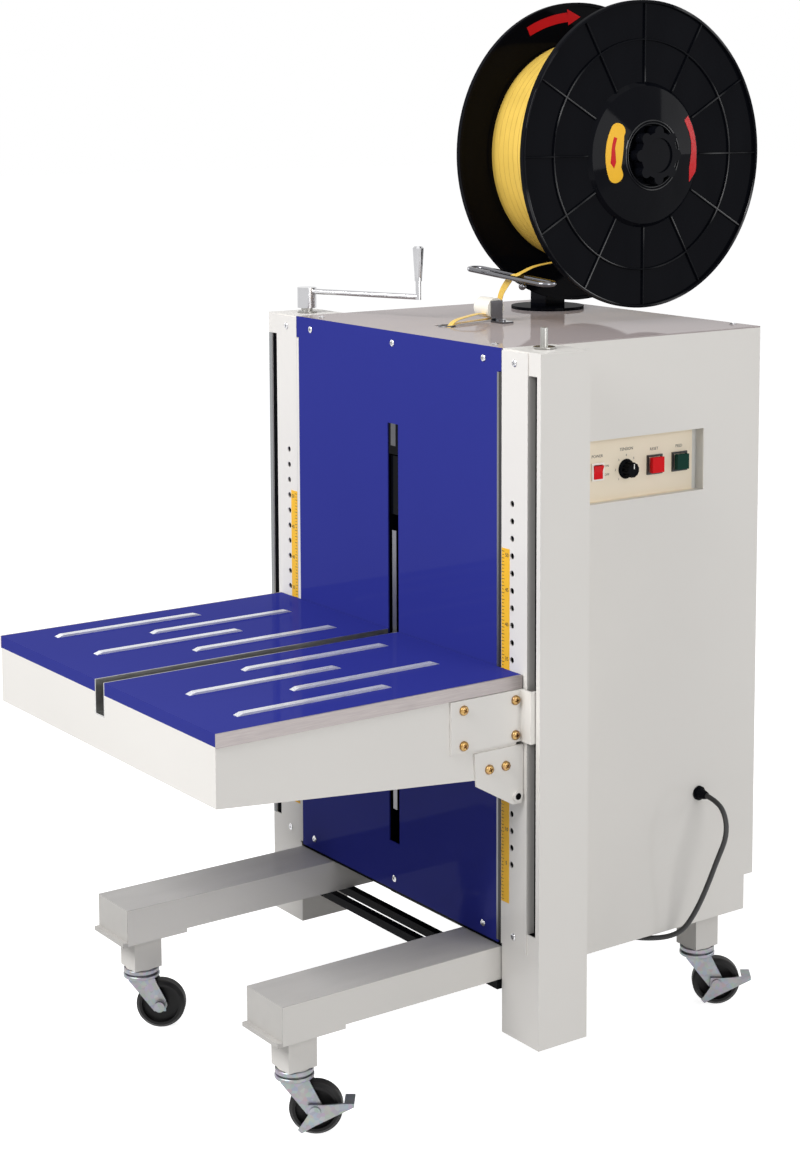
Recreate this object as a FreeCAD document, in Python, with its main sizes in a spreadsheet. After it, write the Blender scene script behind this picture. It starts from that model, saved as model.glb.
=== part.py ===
import FreeCAD, Part
import math
import operator
import os

import Sketcher
from FreeCAD import Placement, Rotation, Vector

# Floor-standing strapping machine with a crank-raised cantilever table and a strap reel on top.
# Frame: +X to the control-panel side, +Y to the back, +Z up; the origin is on the floor, at the
# centre of the whole machine's outline. Lengths are in millimetres.

doc = FreeCAD.newDocument("StrappingMachine")
sheet = doc.addObject("Spreadsheet::Sheet", "Sizes")

SIZES = {
    # Whole machine, then the sheet-metal cabinet.
    "machine_width": 720,
    "top_height": 1080,
    "foot_clearance": 78,
    "cabinet_depth": 495,
    "cabinet_bottom": 157,
    "panel_gap": 0.5,
    "panel_front": 76,
    "sheet_gauge": 2,
    "rear_step_height": 214,
    "rear_step_inset": 18,
    "front_flange": 38,
    "entry_left": 28,
    "entry_right": 12,
    "entry_near": 94,
    "entry_far": 114,
    "blue_gap": 7,
    "blue_low": 212,
    "blue_flange": 12,
    "ear_depth": 33,
    "strap_slot_half": 14,
    "strap_slot_low": 288,
    "strap_slot_drop": 140,
    "slot_cheek": 40,
    "slot_flange": 46,
    "slot_reach": 38,
    # Corner posts and their perforated guide plates.
    "post_width": 87,
    "post_depth": 88,
    "post_gauge": 2.5,
    "post_lip": 8.5,
    "slot_low": 243,
    "slot_drop": 33,
    "guide_width": 60,
    "guide_low": 213,
    "guide_flange": 12,
    "guide_gauge": 2,
    "hole_radius": 4.5,
    "hole_pitch": 25,
    "hole_first": 337,
    "hole_edge": 25,
    "hole_count": 22,
    # Base: two rails on castors, cross bars, sill and floor pan.
    "rail_width": 94,
    "rail_height": 50,
    "rail_gauge": 3,
    "rail_ahead": 370,
    "rail_behind": 468,
    "riser_side": 46,
    "riser_front": 323,
    "riser_rear": 424,
    "shoe_length": 110,
    "shoe_thickness": 6,
    "bar_side": 13,
    "bar_gap": 21.5,
    "bar_ahead": 8.5,
    "sill_depth": 30,
    "sill_height": 38,
    "pan_near": 110,
    "pan_drop": 23,
    "pan_flange": 24,
    "caster_height": 97,
    "caster_trail": 30,
    "caster_heading": 53.13,
    "wheel_radius": 37.5,
    "wheel_width": 24,
    "tyre_shoulder": 5,
    "wheel_web": 8,
    "hub_boss": 11,
    "tread_depth": 9,
    "axle_radius": 5,
    "axle_head": 8,
    "kingpin_radius": 6,
    "kingpin_head": 9,
    "race_radius": 24,
    "race_height": 9,
    "crown_thickness": 5,
    "fork_gauge": 3,
    "fork_clearance": 0.5,
    "fork_eye": 9,
    "pedal_gauge": 3,
    "pedal_reach": 54,
    "pedal_rise": 12,
    "pedal_drop": 31,
    "pedal_tail": 24,
    "pedal_eye": 10,
    "pedal_tab": 14,
    "pedal_tab_width": 32,
    "running_gap": 0.06,
    "face_gap": 0.3,
    # Table, its brackets, guide rollers and lift nuts.
    "table_reach": 497,
    "table_inset": 38,
    "table_height": 622,
    "table_back_gap": 12,
    "deck_back_gap": 4,
    "deck_lip": 18,
    "deck_gauge": 3,
    "apron_depth": 82,
    "apron_taper": 46,
    "apron_gauge": 2.5,
    "groove_half": 14,
    "groove_depth": 50,
    "groove_gauge": 2,
    "strip_length": 245,
    "strip_width": 12,
    "strip_height": 3,
    "strip_ramp": 9,
    "strip_front": 434,
    "strip_back": 308,
    "strip_front_inset": 57,
    "strip_front_inner": 137,
    "strip_back_inset": 121,
    "strip_back_inner": 70,
    "edge_strip": 3,
    "edge_strip_height": 19,
    "bracket_gauge": 4,
    "bracket_length": 124,
    "bracket_low_drop": 95,
    "bracket_high_drop": 20,
    "bracket_throw": 28,
    "tongue_depth": 50,
    "gusset_top_drop": 100,
    "gusset_front": 88,
    "gusset_shoulder_drop": 148,
    "gusset_low_drop": 185,
    "gusset_heel": 21,
    "gusset_toe": 3,
    "roller_radius": 11,
    "roller_width": 16,
    "roller_drop": 174,
    "socket_radius": 4.5,
    "socket_depth": 2,
    "bolt_radius": 7,
    "bolt_height": 5,
    "bolt_inset": 14,
    "bolt_front": 107,
    "bolt_back": 17,
    "gusset_bolt_front": 63,
    "gusset_bolt_back": 34,
    "gusset_bolt_drop": 26,
    "nut_height": 50,
    "nut_drop": 82,
    "nut_half": 18,
    # Lead screws, chain and crank.
    "screw_inset": 48,
    "screw_depth": 43,
    "screw_radius": 10,
    "sprocket_radius": 24,
    "chain_depth": 5,
    "chain_height": 6,
    "chain_drop": 24,
    "chain_clearance": 2,
    "stud_radius": 5.5,
    "stud_height": 27,
    "washer_radius": 16,
    "washer_height": 3,
    "neck_radius": 9.5,
    "neck_height": 5,
    "hub_radius": 15.5,
    "hub_height": 33,
    "crank_arm": 210,
    "crank_heading": 24.4,
    "crank_rise": 35,
    "crank_rod": 4.5,
    "grip_rise": 60,
    "grip_length": 55,
    "grip_radius": 9,
    "grip_foot": 6,
    "grip_pin": 3,
    # Strap reel, its stand and the strap.
    "reel_radius": 239,
    "reel_back": 405,
    "reel_rise": 259,
    "reel_far": -68,
    "reel_near": 98,
    "flange_thickness": 4,
    "rim_width": 5,
    "rim_height": 4,
    "ring_radius": 177,
    "ring_height": 2.5,
    "rib_width": 3,
    "hub_outer": 113,
    "hub_bevel": 6,
    "hub_inner": 56,
    "hub_crest": 120,
    "hub_well": 48,
    "hub_face": 110,
    "drum_radius": 99,
    "drum_wall": 3,
    "axle_rod": 12,
    "sleeve_wall": 5,
    "axle_end": 118,
    "winding_radius": 176,
    "strap_width": 11.6,
    "strap_pitch": 12.1,
    "strap_thickness": 1.6,
    "core_clearance": 1.2,
    "nut_radius": 36,
    "nut_lobe": 9,
    "nut_depth": 26,
    "nut_floor": 10,
    "stand_side": 40,
    "stand_inset": 122,
    "stand_foot": 60,
    "stand_plate": 5,
    "stand_above": 24,
    "arm_pin": 5,
    "arm_pin_length": 18,
    "arm_eye": 10,
    "arm_eye_width": 10,
    "arm_eye_depth": 391,
    "arm_eye_rise": 43,
    "arm_rod": 4,
    "loop_left": 88,
    "loop_right": 111,
    "loop_depth": 212,
    "loop_half_gap": 13,
    "loop_rise": 73,
    "loop_tilt": 5,
    "ball_radius": 6,
    "ball_drop": 15,
    "ball_place": 24,
    "top_roller": 16,
    "top_roller_left": 50,
    "top_roller_right": 13.3,
    "top_roller_depth": 202,
    "top_roller_rise": 21.5,
    "top_roller_pin": 4,
    "roller_plate": 3,
    "roller_plate_half": 10.5,
    "roller_plate_rise": 34,
    "roller_foot": 31,
    "tail_leave": 0.12,
    "tail_start": 22,
    "tail_crest": 296,
    "tail_crest_rise": 92,
    "tail_bow_rise": 87,
    # Right-hand control panel.
    "recess_low_drop": 242,
    "recess_high_drop": 148,
    "recess_near": 120,
    "recess_end": 34.1,
    "recess_depth": 18,
    "recess_lip": 10,
    "rocker_depth": 187.7,
    "rocker_drop": 197.7,
    "rocker_half_width": 8.5,
    "rocker_half_height": 10.2,
    "rocker_tilt": 8,
    "rocker_proud": 3,
    "rocker_back": 7,
    "rocker_wing": 2.5,
    "rocker_pin": 1.5,
    "bezel_wall": 3,
    "bezel_height": 3,
    "knob_pitch": 55.8,
    "knob_drop": 198.8,
    "knob_skirt": 15,
    "knob_skirt_height": 4,
    "knob_radius": 11.5,
    "knob_height": 18,
    "knob_shaft": 3,
    "knob_flute": 2,
    "red_pitch": 54.1,
    "push_pitch": 49.3,
    "push_drop": 197.3,
    "push_half_width": 11.8,
    "push_half_height": 11.8,
    "push_proud": 6.5,
    "push_travel": 4,
    "push_stem": 4,
    "push_collar": 6.5,
    # Seal head, feed, motor.
    "head_half_width": 55,
    "head_depth": 100,
    "head_low_drop": 300,
    "head_high_drop": 135,
    "nose_half_width": 12,
    "anvil_low_drop": 187,
    "anvil_high_drop": 140,
    "anvil_proud": 1,
    "gripper_low_drop": 280,
    "gripper_high_drop": 190,
    "gripper_inset": 3,
    "cheek_width": 8,
    "cheek_drop": 80,
    "cheek_rise": 50,
    "cam_depth": 110,
    "cam_drop": 345,
    "cam_shaft": 10,
    "cam_radius": 20,
    "cam_throw": 5,
    "cam_width": 8,
    "cam_pitch": 26,
    "feed_depth": 80,
    "feed_drop": 112,
    "feed_shaft": 6,
    "feed_radius": 18,
    "feed_half_width": 14,
    "motor_inset": 46.5,
    "motor_near": 200,
    "motor_far": 400,
    "motor_thickness": 4,
    "motor_radius": 70,
    "motor_half_length": 90,
    "motor_level": 330,
    "saddle_half": 50,
    # Cord, gland and plug.
    "gland_depth": 378.5,
    "gland_level": 364,
    "gland_neck": 7,
    "gland_flange": 11,
    "gland_plate": 4,
    "gland_nose": 15,
    "gland_tip": 5.5,
    "cord_radius": 4,
    "corner_share": 0.45,
    "coil_x": 70,
    "coil_depth": 300,
    "coil_outer": 60.45,
    "coil_pitch": 9.4,
    "coil_steps": 7,
    "coil_dip": 1,
    "coil_tail": 44,
    "plug_radius": 13.4,
    "plug_length": 42,
    "plug_neck": 7,
    "plug_taper": 14,
    "plug_pin": 2.4,
    "plug_pin_length": 19,
    "plug_pin_half": 9.5,
    # Screw heads and one overrun for all cuts.
    "head_radius": 6,
    "head_height": 2.5,
    "overrun": 5,
}

for row, (name, value) in enumerate(SIZES.items(), start=1):
    sheet.set(f"A{row}", name)
    sheet.set(f"B{row}", str(value))
    sheet.setAlias(f"B{row}", name)
doc.recompute()

ACTIONS = {"+": operator.add, "-": operator.sub, "*": operator.mul, "/": operator.truediv}


class Size:
    """A length that carries its value and the sheet formula it comes from."""

    def __init__(self, value, formula):
        self.value = value
        self.formula = formula

    def __add__(self, other):
        return joined(self, "+", other)

    def __radd__(self, other):
        return joined(other, "+", self)

    def __sub__(self, other):
        return joined(self, "-", other)

    def __rsub__(self, other):
        return joined(other, "-", self)

    def __mul__(self, other):
        return joined(self, "*", other)

    def __rmul__(self, other):
        return joined(other, "*", self)

    def __truediv__(self, other):
        return joined(self, "/", other)

    def __neg__(self):
        return joined(0, "-", self)


def sized(thing):
    return thing if isinstance(thing, Size) else Size(thing, repr(thing))


def joined(left, sign, right):
    left, right = sized(left), sized(right)
    value = ACTIONS[sign](left.value, right.value)
    return Size(value, f"({left.formula} {sign} {right.formula})")


class Cells:
    """The sheet's sizes as attributes."""

    def __init__(self):
        for name in SIZES:
            setattr(self, name, Size(float(sheet.get(name)), f"Sizes.{name}"))


c = Cells()
half_width = c.machine_width / 2
post_inner = half_width - c.post_width
panel_half = post_inner - c.panel_gap
blue_half = post_inner - c.blue_gap
screw_span = half_width - c.screw_inset
table_half = half_width - c.table_inset
motor_half = panel_half - c.motor_inset
knob_depth = c.rocker_depth + c.knob_pitch
red_depth = knob_depth + c.red_pitch
green_depth = red_depth + c.push_pitch
recess_far = green_depth + c.recess_end
front = -(c.reel_back + c.reel_radius - c.table_reach) / 2
TURNED = {
    "x": Rotation(Vector(0, 1, 0), 90),
    "y": Rotation(Vector(-1, 0, 0), 90),
    "z": Rotation(),
}
parts = []


def place(thing, x, y, z):
    """Binds where an object stands."""
    for axis, spot in zip("xyz", (x, y, z)):
        thing.setExpression(f"Placement.Base.{axis}", sized(spot).formula)
    return thing


def box(name, low, high):
    """A block between two corners."""
    block = doc.addObject("Part::Box", name)
    for side, a, b in zip(("Length", "Width", "Height"), low, high):
        block.setExpression(side, (sized(b) - a).formula)
    return place(block, *low)


def rod(name, base, radius, length, axis="z"):
    """A round bar that starts at base and runs along an axis."""
    bar = doc.addObject("Part::Cylinder", name)
    bar.setExpression("Radius", sized(radius).formula)
    bar.setExpression("Height", sized(length).formula)
    bar.Placement = Placement(Vector(), TURNED[axis])
    return place(bar, *base)


def fuse(name, *pieces):
    joint = doc.addObject("Part::MultiFuse", name)
    joint.Shapes = list(pieces)
    return joint


def cut(name, base, *tools):
    result = doc.addObject("Part::Cut", name)
    result.Base = base
    result.Tool = tools[0] if len(tools) == 1 else fuse(name + "Tools", *tools)
    return result


def group(name, *pieces):
    """Separate solids that share one node."""
    bundle = doc.addObject("Part::Compound", name)
    bundle.Links = list(pieces)
    return bundle


def mirrored(name, source):
    """The same piece on the other side of the machine."""
    copy = doc.addObject("Part::Mirroring", name)
    copy.Source = source
    copy.Normal = Vector(1, 0, 0)
    return copy


def part(label, thing):
    thing.Label = label
    parts.append(thing)
    return thing


def body(name):
    return doc.addObject("PartDesign::Body", name)


def sketch(owner, role, offset=0):
    """A sketch on one of the body's own origin planes, moved along the plane's normal."""
    plane = next(f for f in owner.Origin.OriginFeatures if f.Role == role)
    drawing = owner.newObject("Sketcher::SketchObject", owner.Name + "Sketch")
    drawing.AttachmentSupport = [(plane, "")]
    drawing.MapMode = "FlatFace"
    drawing.setExpression("AttachmentOffset.Base.z", sized(offset).formula)
    return drawing


def pin_point(drawing, index, point, x, y):
    """Ties a sketch point to the origin by two named distances."""
    for kind, axis_line, spot in (("DistanceX", -2, x), ("DistanceY", -1, y)):
        spot = sized(spot)
        if spot.value == 0:
            drawing.addConstraint(Sketcher.Constraint("PointOnObject", index, point, axis_line))
            continue
        number = drawing.addConstraint(Sketcher.Constraint(kind, -1, 1, index, point, spot.value))
        drawing.setExpression(f"Constraints[{number}]", spot.formula)


def outline(drawing, points):
    """A closed outline of straight sides."""
    spots = [Vector(sized(x).value, sized(y).value, 0) for x, y in points]
    first = drawing.GeometryCount
    count = len(points)
    for k in range(count):
        drawing.addGeometry(Part.LineSegment(spots[k], spots[(k + 1) % count]), False)
    for k in range(count):
        after = first + (k + 1) % count
        drawing.addConstraint(Sketcher.Constraint("Coincident", first + k, 2, after, 1))
    for k, (x, y) in enumerate(points):
        pin_point(drawing, first + k, 1, x, y)


def rectangle(drawing, x0, y0, x1, y1):
    outline(drawing, [(x0, y0), (x1, y0), (x1, y1), (x0, y1)])


def circle(drawing, x, y, radius):
    radius = sized(radius)
    centre = Vector(sized(x).value, sized(y).value, 0)
    number = drawing.addGeometry(Part.Circle(centre, Vector(0, 0, 1), radius.value), False)
    pin_point(drawing, number, 3, x, y)
    number = drawing.addConstraint(Sketcher.Constraint("Radius", number, radius.value))
    drawing.setExpression(f"Constraints[{number}]", radius.formula)


def pad(owner, drawing, length, back=False, both=False):
    """Raises a sketch into a solid, along the plane's normal unless back is set."""
    raised = owner.newObject("PartDesign::Pad", owner.Name + "Pad")
    raised.Profile = drawing
    raised.setExpression("Length", sized(length).formula)
    raised.Reversed = back
    raised.Midplane = both
    return raised


def pocket(owner, drawing, length, back=False, both=False):
    """Cuts a sketch into the body, against the plane's normal unless back is set."""
    doc.recompute()
    before = owner.Shape.Volume
    sunk = owner.newObject("PartDesign::Pocket", owner.Name + "Pocket")
    sunk.Profile = drawing
    sunk.setExpression("Length", sized(length).formula)
    sunk.Reversed = back
    sunk.Midplane = both
    doc.recompute()
    if owner.Shape.Volume >= before:
        raise RuntimeError(f"{owner.Name}: a pocket cuts nothing")
    return sunk


def revolve(owner, drawing, axis="H_Axis"):
    turned = owner.newObject("PartDesign::Revolution", owner.Name + "Turned")
    turned.Profile = drawing
    turned.ReferenceAxis = (drawing, [axis])
    turned.Angle = 360
    return turned


def repeat_round(owner, feature, drawing, count):
    """Copies of a feature round the normal of its sketch."""
    ring = owner.newObject("PartDesign::PolarPattern", owner.Name + "Ring")
    ring.Originals = [feature]
    ring.Axis = (drawing, ["N_Axis"])
    ring.Angle = 360
    ring.Occurrences = count
    owner.Tip = ring
    return ring


def back(depth):
    """A place measured from the front faces of the corner posts."""
    return front + depth


def above(rise):
    """A level measured up from the top cover."""
    return c.top_height + rise


def below(drop):
    """A level measured down from the top cover."""
    return c.top_height - drop


def under_deck(drop):
    """A level measured down from the table's surface."""
    return c.table_height - drop


def shape_from(owner, role, points, start, length, reverse=False):
    """One outline raised into a solid from a given offset along the plane's normal."""
    drawing = sketch(owner, role, start)
    outline(drawing, points)
    return pad(owner, drawing, length, back=reverse)


def open_out(owner, role, corners, start, length, reverse=False):
    """One rectangular cut from a given offset against the plane's normal."""
    drawing = sketch(owner, role, start)
    rectangle(drawing, *corners)
    return pocket(owner, drawing, length, back=reverse)


rail_outer = panel_half - c.sheet_gauge
rail_inner = rail_outer - c.rail_width
rail_middle = (rail_outer + rail_inner) / 2
rail_low = c.cabinet_bottom
rail_top = rail_low + c.rail_height
post_outer = half_width
window_inner = post_inner + c.post_gauge
window_outer = post_outer - c.post_lip
slot_inner = post_inner + c.guide_width
panel_back = c.cabinet_depth - c.sheet_gauge
step_back = panel_back - c.rear_step_inset
cover_low = c.top_height - c.sheet_gauge
chain_low = below(c.chain_drop) - c.chain_height / 2
chain_inner = c.sprocket_radius + c.face_gap
chain_outer = chain_inner + c.chain_depth
bracket_outer = table_half + c.bracket_gauge
tongue_inner = bracket_outer + c.bracket_throw - 2 * c.bracket_gauge
tongue_outer = tongue_inner + c.bracket_gauge
deck_low = c.table_height - c.deck_lip
apron_low = deck_low - c.apron_depth
head_back = c.slot_cheek + c.head_depth
plate_face = panel_half - c.recess_depth
plate_back = plate_face - c.sheet_gauge
head_low = c.foot_clearance + c.post_gauge + c.face_gap


def rail_side(name, side):
    """One floor rail with its closed ends, shoe, castor risers and swivel races."""
    low_x, high_x = (rail_inner, rail_outer) if side > 0 else (-rail_outer, -rail_inner)
    tube = box(name + "Tube", (low_x, back(-c.rail_ahead), rail_low), (high_x, back(c.rail_behind), rail_top))
    gauge = c.rail_gauge
    bore = box(
        name + "Bore",
        (low_x + gauge, back(gauge - c.rail_ahead), rail_low + gauge),
        (high_x - gauge, back(c.rail_behind - gauge), rail_top - gauge),
    )
    pieces = [cut(name + "Hollow", tube, bore)]
    half = c.riser_side / 2
    for place_name, depth in (("Front", -c.riser_front), ("Rear", c.riser_rear)):
        x = side * rail_middle
        low, high = (x - half, back(depth - half), c.caster_height), (x + half, back(depth + half), rail_low)
        race_low = c.caster_height - c.race_height
        crown_low = race_low - c.face_gap - c.crown_thickness - c.face_gap
        pin_low = crown_low - c.kingpin_radius
        pieces.append(box(name + place_name + "Riser", low, high))
        pieces.append(rod(name + place_name + "Race", (x, back(depth), race_low), c.race_radius, c.race_height))
        pieces.append(rod(name + place_name + "Pin", (x, back(depth), pin_low), c.kingpin_radius,
                          race_low - pin_low))
        pieces.append(rod(name + place_name + "Head", (x, back(depth), pin_low), c.kingpin_head,
                          crown_low - pin_low))
    reach = c.shoe_length / 2
    pieces.append(box(
        name + "Shoe",
        (low_x, back(-c.riser_front - reach), rail_low - c.shoe_thickness),
        (high_x, back(reach - c.riser_front), rail_low),
    ))
    return fuse(name, *pieces)


def base_rails():
    return group("BaseRails", rail_side("RailLeft", -1), rail_side("RailRight", 1))


def cross_bars():
    """Two bars between the posts under the rails, and the sill that carries the front panel."""
    low = rail_low - c.bar_side
    first = back(-c.bar_ahead)
    second = first + c.bar_side + c.bar_gap
    return group(
        "CrossBars",
        box("FrontBar", (-post_inner, first, low), (post_inner, first + c.bar_side, rail_low)),
        box("RearBar", (-post_inner, second, low), (post_inner, second + c.bar_side, rail_low)),
        box("Sill", (-post_inner, front, rail_top), (post_inner, back(c.sill_depth), rail_top + c.sill_height)),
    )


def post_right():
    """A closed square post, open in front for the table bracket and inside for the chain."""
    gauge = c.post_gauge
    far = back(c.post_depth)
    shell = box("PostShell", (post_inner, front, c.foot_clearance), (post_outer, far, c.top_height))
    bore = box(
        "PostBore",
        (window_inner, back(gauge), c.foot_clearance + gauge),
        (post_outer - gauge, back(c.post_depth - gauge), c.top_height - gauge),
    )
    window = box(
        "PostWindow",
        (window_inner, back(-c.overrun), c.slot_low),
        (window_outer, back(gauge), below(c.slot_drop)),
    )
    reach = chain_outer + c.chain_clearance
    chain_window = box(
        "PostChainWindow",
        (post_inner - c.overrun, back(c.screw_depth - reach), chain_low - c.chain_clearance),
        (window_inner, back(c.screw_depth + reach), chain_low + c.chain_height + c.chain_clearance),
    )
    bush = rod(
        "PostBush",
        (screw_span, back(c.screw_depth), c.top_height - gauge - c.overrun),
        c.screw_radius + c.running_gap,
        gauge + 2 * c.overrun,
    )
    return cut("PostRight", shell, bore, window, chain_window, bush)


def guide_right():
    """The perforated guide plate with its outer edge bent back into the slot."""
    owner = body("GuideRight")
    face = (post_inner, slot_inner)
    shape_from(
        owner,
        "XZ_Plane",
        [(face[0], c.guide_low), (face[1], c.guide_low), (face[1], cover_low), (face[0], cover_low)],
        -front,
        c.guide_gauge,
    )
    edge = slot_inner - c.guide_gauge
    low, high = c.slot_low + c.face_gap, below(c.slot_drop) - c.face_gap
    shape_from(
        owner, "XZ_Plane", [(edge, low), (slot_inner, low), (slot_inner, high), (edge, high)],
        -front, c.guide_flange, reverse=True,
    )
    holes = sketch(owner, "XZ_Plane", -front)
    circle(holes, post_inner + c.hole_edge, c.hole_first, c.hole_radius)
    first = pocket(owner, holes, c.guide_gauge, back=True)
    row = owner.newObject("PartDesign::LinearPattern", "GuideHoles")
    row.Originals = [first]
    row.Direction = (holes, ["V_Axis"])
    row.setExpression("Length", (c.hole_pitch * (c.hole_count - 1)).formula)
    row.setExpression("Occurrences", c.hole_count.formula)
    owner.Tip = row
    return owner


def guide_plates():
    right = guide_right()
    return group("GuidePlates", right, mirrored("GuideLeft", right))


def front_panel():
    """The slotted front panel, with ears at the top and flanges turned back along its sides."""
    owner = body("FrontPanel")
    ear_low = c.top_height - c.ear_depth
    half = blue_half
    wide = panel_half
    shape_from(
        owner,
        "XZ_Plane",
        [(-half, c.blue_low), (half, c.blue_low), (half, ear_low), (wide, ear_low), (wide, c.top_height),
         (-wide, c.top_height), (-wide, ear_low), (-half, ear_low)],
        -front,
        c.sheet_gauge,
    )
    low = rail_top + c.sill_height + c.face_gap
    high = c.top_height - c.front_flange - c.face_gap
    for inner, outer in ((half - c.sheet_gauge, half), (-half, c.sheet_gauge - half)):
        shape_from(
            owner, "XZ_Plane", [(inner, low), (outer, low), (outer, high), (inner, high)],
            -front, c.blue_flange, reverse=True,
        )
    slot = (-c.strap_slot_half, c.strap_slot_low, c.strap_slot_half, below(c.strap_slot_drop))
    open_out(owner, "XZ_Plane", slot, -front, c.sheet_gauge, reverse=True)
    return owner


def slot_guide():
    """Two angles behind the front panel that guide the strap up and down."""
    owner = body("SlotAngle")
    near = c.strap_slot_half
    far = near + c.slot_flange
    shape_from(
        owner,
        "XY_Plane",
        [(near, front), (far, front), (far, back(c.sheet_gauge)), (near + c.sheet_gauge, back(c.sheet_gauge)),
         (near + c.sheet_gauge, back(c.slot_cheek)), (near, back(c.slot_cheek))],
        c.strap_slot_low - c.slot_reach,
        below(c.strap_slot_drop) - c.strap_slot_low + 2 * c.slot_reach,
    )
    return group("SlotGuide", owner, mirrored("SlotAngleLeft", owner))


def side_outline():
    return [
        (back(c.panel_front), c.cabinet_bottom),
        (back(step_back), c.cabinet_bottom),
        (back(step_back), c.rear_step_height),
        (back(panel_back), c.rear_step_height),
        (back(panel_back), cover_low),
        (back(c.panel_front), cover_low),
    ]


def side_panel_left():
    owner = body("SidePanelLeft")
    shape_from(owner, "YZ_Plane", side_outline(), -panel_half, c.sheet_gauge)
    return owner


def side_panel_right():
    """The right side, with the opening of the control recess and the hole of the cord gland."""
    owner = body("SidePanelRight")
    shape_from(owner, "YZ_Plane", side_outline(), rail_outer, c.sheet_gauge)
    recess = (back(c.recess_near), below(c.recess_low_drop), back(recess_far), below(c.recess_high_drop))
    open_out(owner, "YZ_Plane", recess, rail_outer, c.sheet_gauge, reverse=True)
    hole = sketch(owner, "YZ_Plane", rail_outer)
    circle(hole, back(c.gland_depth), c.gland_level, c.gland_neck)
    pocket(owner, hole, c.sheet_gauge, back=True)
    return owner


def rear_panel():
    """The back sheet with a joggle inwards near its lower edge."""
    owner = body("RearPanel")
    gauge = c.sheet_gauge
    drawing = sketch(owner, "YZ_Plane", 0)
    outline(drawing, [
        (back(panel_back), cover_low),
        (back(panel_back), c.rear_step_height),
        (back(step_back), c.rear_step_height),
        (back(step_back), c.cabinet_bottom),
        (back(step_back + gauge), c.cabinet_bottom),
        (back(step_back + gauge), c.rear_step_height - gauge),
        (back(panel_back + gauge), c.rear_step_height - gauge),
        (back(panel_back + gauge), cover_low),
    ])
    pad(owner, drawing, 2 * panel_half, both=True)
    return owner


def top_cover():
    """The flat top with its front flange and the slit where the strap goes in."""
    owner = body("TopCover")
    gauge = c.sheet_gauge
    wide = panel_half
    shape_from(
        owner, "XY_Plane",
        [(-wide, front), (wide, front), (wide, back(c.cabinet_depth)), (-wide, back(c.cabinet_depth))],
        cover_low, gauge,
    )
    half = blue_half
    flange_low = c.top_height - c.front_flange
    shape_from(
        owner, "XZ_Plane", [(-half, flange_low), (half, flange_low), (half, cover_low), (-half, cover_low)],
        -front, gauge, reverse=True,
    )
    slit = (-c.entry_left, back(c.entry_near), c.entry_right, back(c.entry_far))
    open_out(owner, "XY_Plane", slit, c.top_height, gauge)
    return owner


def floor_pan():
    """A tray between the rails, open on its right side for the cord."""
    gauge = c.sheet_gauge
    floor = rail_low - c.pan_drop
    near, far = back(c.pan_near), back(c.rail_behind)
    ear = rail_inner + c.pan_flange
    lip = rail_low - gauge
    pieces = [
        box("PanFloor", (-rail_inner, near, floor), (rail_inner, far, floor + gauge)),
        box("PanLeft", (-rail_inner, near, floor), (gauge - rail_inner, far, rail_low)),
        box("PanFront", (-rail_inner, near, floor), (rail_inner, near + gauge, rail_low)),
        box("PanRear", (-rail_inner, far - gauge, floor), (rail_inner, far, rail_low)),
        box("PanLeftFlange", (-ear, near, lip), (-rail_inner, near + c.pan_flange, rail_low)),
        box("PanRightFlange", (rail_inner, near, lip), (ear, near + c.pan_flange, rail_low)),
        box("PanLeftRear", (-ear, far - c.pan_flange, lip), (-rail_inner, far, rail_low)),
        box("PanRightRear", (rail_inner - gauge, far - c.pan_flange, lip), (ear, far, rail_low)),
    ]
    return fuse("FloorPan", *pieces)


def screw_head(name, x, depth, level, axis="y"):
    """A low round head on a front face, or on the top when its axis is upright."""
    if axis == "z":
        return rod(name, (x, back(depth), level), c.head_radius, c.head_height)
    return rod(name, (x, back(depth) - c.head_height, level), c.head_radius, c.head_height, axis="y")


def panel_screws():
    """Heads along the front panel's edges, on the guide plates and on the top cover."""
    inset = 3 * c.head_radius
    span = blue_half - 2 * inset
    high, low = c.top_height - inset, c.blue_low + inset
    heads = []
    for k, x in enumerate((-span, sized(0), span)):
        for level_name, level in (("High", high), ("Low", low)):
            heads.append(screw_head(f"PanelScrew{level_name}{k}", x, -c.sheet_gauge, level))
    guide_x = slot_inner - c.guide_width / 2
    for side_name, side in (("Left", -1), ("Right", 1)):
        x = side * guide_x
        for level_name, level in (("High", high), ("Low", c.guide_low + inset)):
            heads.append(screw_head(f"GuideScrew{side_name}{level_name}", x, -c.guide_gauge, level))
        for row_name, depth in (("Near", inset), ("Far", c.cabinet_depth - inset)):
            heads.append(screw_head(f"CoverScrew{side_name}{row_name}", side * span, depth, c.top_height, "z"))
    return group("PanelScrews", *heads)


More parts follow.
